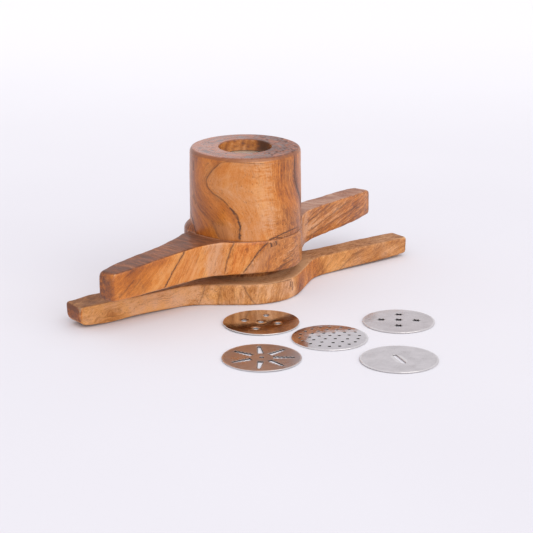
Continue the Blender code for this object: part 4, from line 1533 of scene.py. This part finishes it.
def steel(name, tint, gloss, opening_shade, seed):
    """Hand-cut sheet steel: rolling lines, scratches, fingered patches, faint stains, bright edges, and cut
    walls painted dark as shade in the openings.
    """
    g = Graph(name)
    body = g.vector("ADD", g.place(IN_MM), (seed * 61.0, seed * 37.0, 0.0))
    rolled = g.noise(body, (26, 0.35, 5), 3.0, 0.6)
    patches = g.noise(body, (13, 13, 13), 4.0, 0.55, 0.4)
    cloud = g.noise(body, (4.2, 4.2, 4.2), 4.0, 0.6)
    scratches = 0.0
    for i, (turn, width) in enumerate(((0.5, 0.22), (1.45, 0.18), (2.5, 0.25))):
        inputs = {"Vector": body, "Angle": turn + seed}
        way = g.node("ShaderNodeVectorRotate", inputs, rotation_type="Z_AXIS")
        thin = abs(g.noise(way, (19 + 6 * i, width, 5), 1.0)).step(0.022, 0.0)
        scratches = (thin * g.noise(way, (9, 3, 5)).step(0.0, 0.2)).at_least(scratches)
    stain = (cloud + patches * 0.8).step(0.16, 0.38)
    bright = g.attribute("edge").step(0.01, 0.05)
    cut = g.attribute("cut")
    base = g.mix(patches.step(-0.25, 0.25), tint, tuple(0.84 * c for c in tint))
    base = g.mix(stain * 0.40, base, (0.30, 0.25, 0.21))
    base = g.mix(scratches * 0.35, base, (0.86, 0.84, 0.82))
    base = g.mix(bright * 0.5, base, (0.84, 0.82, 0.80))
    # painted shade: the cut walls of the openings are darkened
    base = g.mix(cut * opening_shade, base, (0.050, 0.040, 0.036))
    rough = patches * 0.16 + cloud * 0.10 + scratches * 0.16 + stain * 0.12 + cut * 0.30 + gloss
    height = rolled * 0.5 - scratches * 0.6 + cloud * 0.5
    return g.surface({
        "Base Color": base,
        "Metallic": 1.0,
        "Roughness": rough.at_least(0.05),
        "Normal": g.bump(height, 0.12, 0.0001),
    })


def floor_material():
    g = Graph("backdrop_paper")
    place = g.place()
    cloud = g.noise(place, (0.35, 0.35, 0.35))
    fibre = g.noise(place, (0.0012, 0.0012, 0.0012))
    near = g.mix(cloud.step(-0.3, 0.3), (0.745, 0.733, 0.772), (0.765, 0.754, 0.792))
    # painted light: the floor grows lighter away from the camera, and far out it turns back to the near
    # colour
    across, back, _ = g.parts(place)
    depth = across * 0.60 + back * 0.80
    colour = g.mix(depth.step(0.15, 1.4), near, (0.865, 0.858, 0.880))
    reach = g.vector("LENGTH", place, output="Value")
    return g.surface({
        "Base Color": g.mix(reach.step(3.4, 5.8), colour, near),
        "Roughness": fibre * 0.1 + 0.85,
        "Specular IOR Level": 0.15,
    })


# Stage


def make_floor():
    builder = bmesh.new()
    rings = np.geomspace(FLOOR_INNER_RADIUS, FLOOR_RADIUS, FLOOR_RINGS)
    loops = [[builder.verts.new((*p, 0.0)) for p in circle((0, 0), r, FLOOR_SEGMENTS)] for r in rings]
    fan(builder, loops[0], builder.verts.new((0, 0, 0)))
    for near, far in zip(loops, loops[1:]):
        bridge(builder, far, near)
    floor = add_mesh("backdrop_floor", builder)
    floor.location.z = -FLOOR_DROP
    floor.data.materials.append(floor_material())


def placed(name, data, place, way):
    """A new light or camera at this place that looks this way."""
    made = bpy.data.objects.new(name, data)
    made.location = place
    made.rotation_euler = Vector(way).to_track_quat("-Z", "Y").to_euler()
    bpy.context.scene.collection.objects.link(made)
    return made


def make_stage():
    make_floor()
    scene = bpy.context.scene
    scene.view_settings.view_transform = "Standard"
    world = bpy.data.worlds.new("studio")
    world.use_nodes = True
    backdrop = world.node_tree.nodes["Background"]
    backdrop.inputs["Color"].default_value = (0.965, 0.955, 1.0, 1.0)
    backdrop.inputs["Strength"].default_value = 0.90
    scene.world = world
    light = bpy.data.lights.new("key_light", "SUN")
    light.energy = 1.7
    light.angle = math.radians(75.0)
    light.color = (1.0, 0.98, 0.95)
    placed("key_light", light, LIGHT_PLACE, -Vector(LIGHT_PLACE))
    camera = bpy.data.cameras.new("camera")
    camera.sensor_width = CAMERA_SENSOR_MM
    camera.lens = CAMERA_LENS_MM
    camera.clip_end = 50.0
    scene.camera = placed("camera", camera, CAMERA_PLACE, CAMERA_WAY)


# The whole


def dress(piece, body, node):
    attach(piece, body)
    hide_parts(node)


def make_plates():
    # Each loose plate's name, radius, openings, place, turn in degrees, (warp, dome, dimple, seed),
    # tint, gloss and how dark the painted shade on the cut walls of its openings is
    loose = (
        (
            "five_hole", 0.0305, five_hole_openings(), (-0.0454, -0.0827), -50.9,
            (0.0006, 0.0, -0.00025, 0.9), (0.67, 0.63, 0.59), 0.10, 0.55,
        ),
        (
            "ribbon", 0.0303, ribbon_openings(), (-0.0947, -0.1494), -36.9,
            (0.0003, 0.0, 0.0, 2.1), (0.50, 0.49, 0.51), 0.30, 0.92,
        ),
        (
            "fine_hole", 0.0298, fine_openings(), (-0.0246, -0.1440), -30.0,
            (0.0001, 0.0014, 0.00003, 3.7), (0.65, 0.61, 0.62), 0.09, 0.95,
        ),
        (
            "star_hole", 0.0288, star_openings(), (0.0443, -0.1459), -40.9,
            (0.0003, 0.0012, -0.00020, 4.6), (0.63, 0.575, 0.575), 0.24, 0.97,
        ),
        (
            "single_slot", 0.0298, slot_openings(), (-0.0139, -0.2141), -107.0,
            (0.0003, 0.0, 0.0, 5.5), (0.67, 0.63, 0.635), 0.22, 0.25,
        ),
    )
    for name, radius, openings, place, turn, form, tint, gloss, opening_shade in loose:
        look = steel(name + "_sheet_steel", tint, gloss, opening_shade, form[-1])
        plate = make_plate(name + "_disc", radius, openings, place, turn, 0.0, form, look)
        dress(plate, name + "_plate", name + "_plate")
    form = (0.0, 0.0, 0.0, 6.3)
    look = steel("fitted_sheet_steel", (0.78, 0.79, 0.70), 0.55, 0.9, form[-1])
    turn = math.degrees(BARREL_TURN)
    opening = star((0.0, 0.0))
    fitted = make_plate(
        "fitted_disc", FITTED_PLATE_RADIUS, [opening], (0, 0), turn, FITTED_PLATE_BASE, form, look
    )
    dress(fitted, "fitted_plate", "fitted_plate")


dress(make_barrel(), "barrel", "barrel")
dress(make_plunger(), "plunger", "plunger")
make_plates()
make_stage()
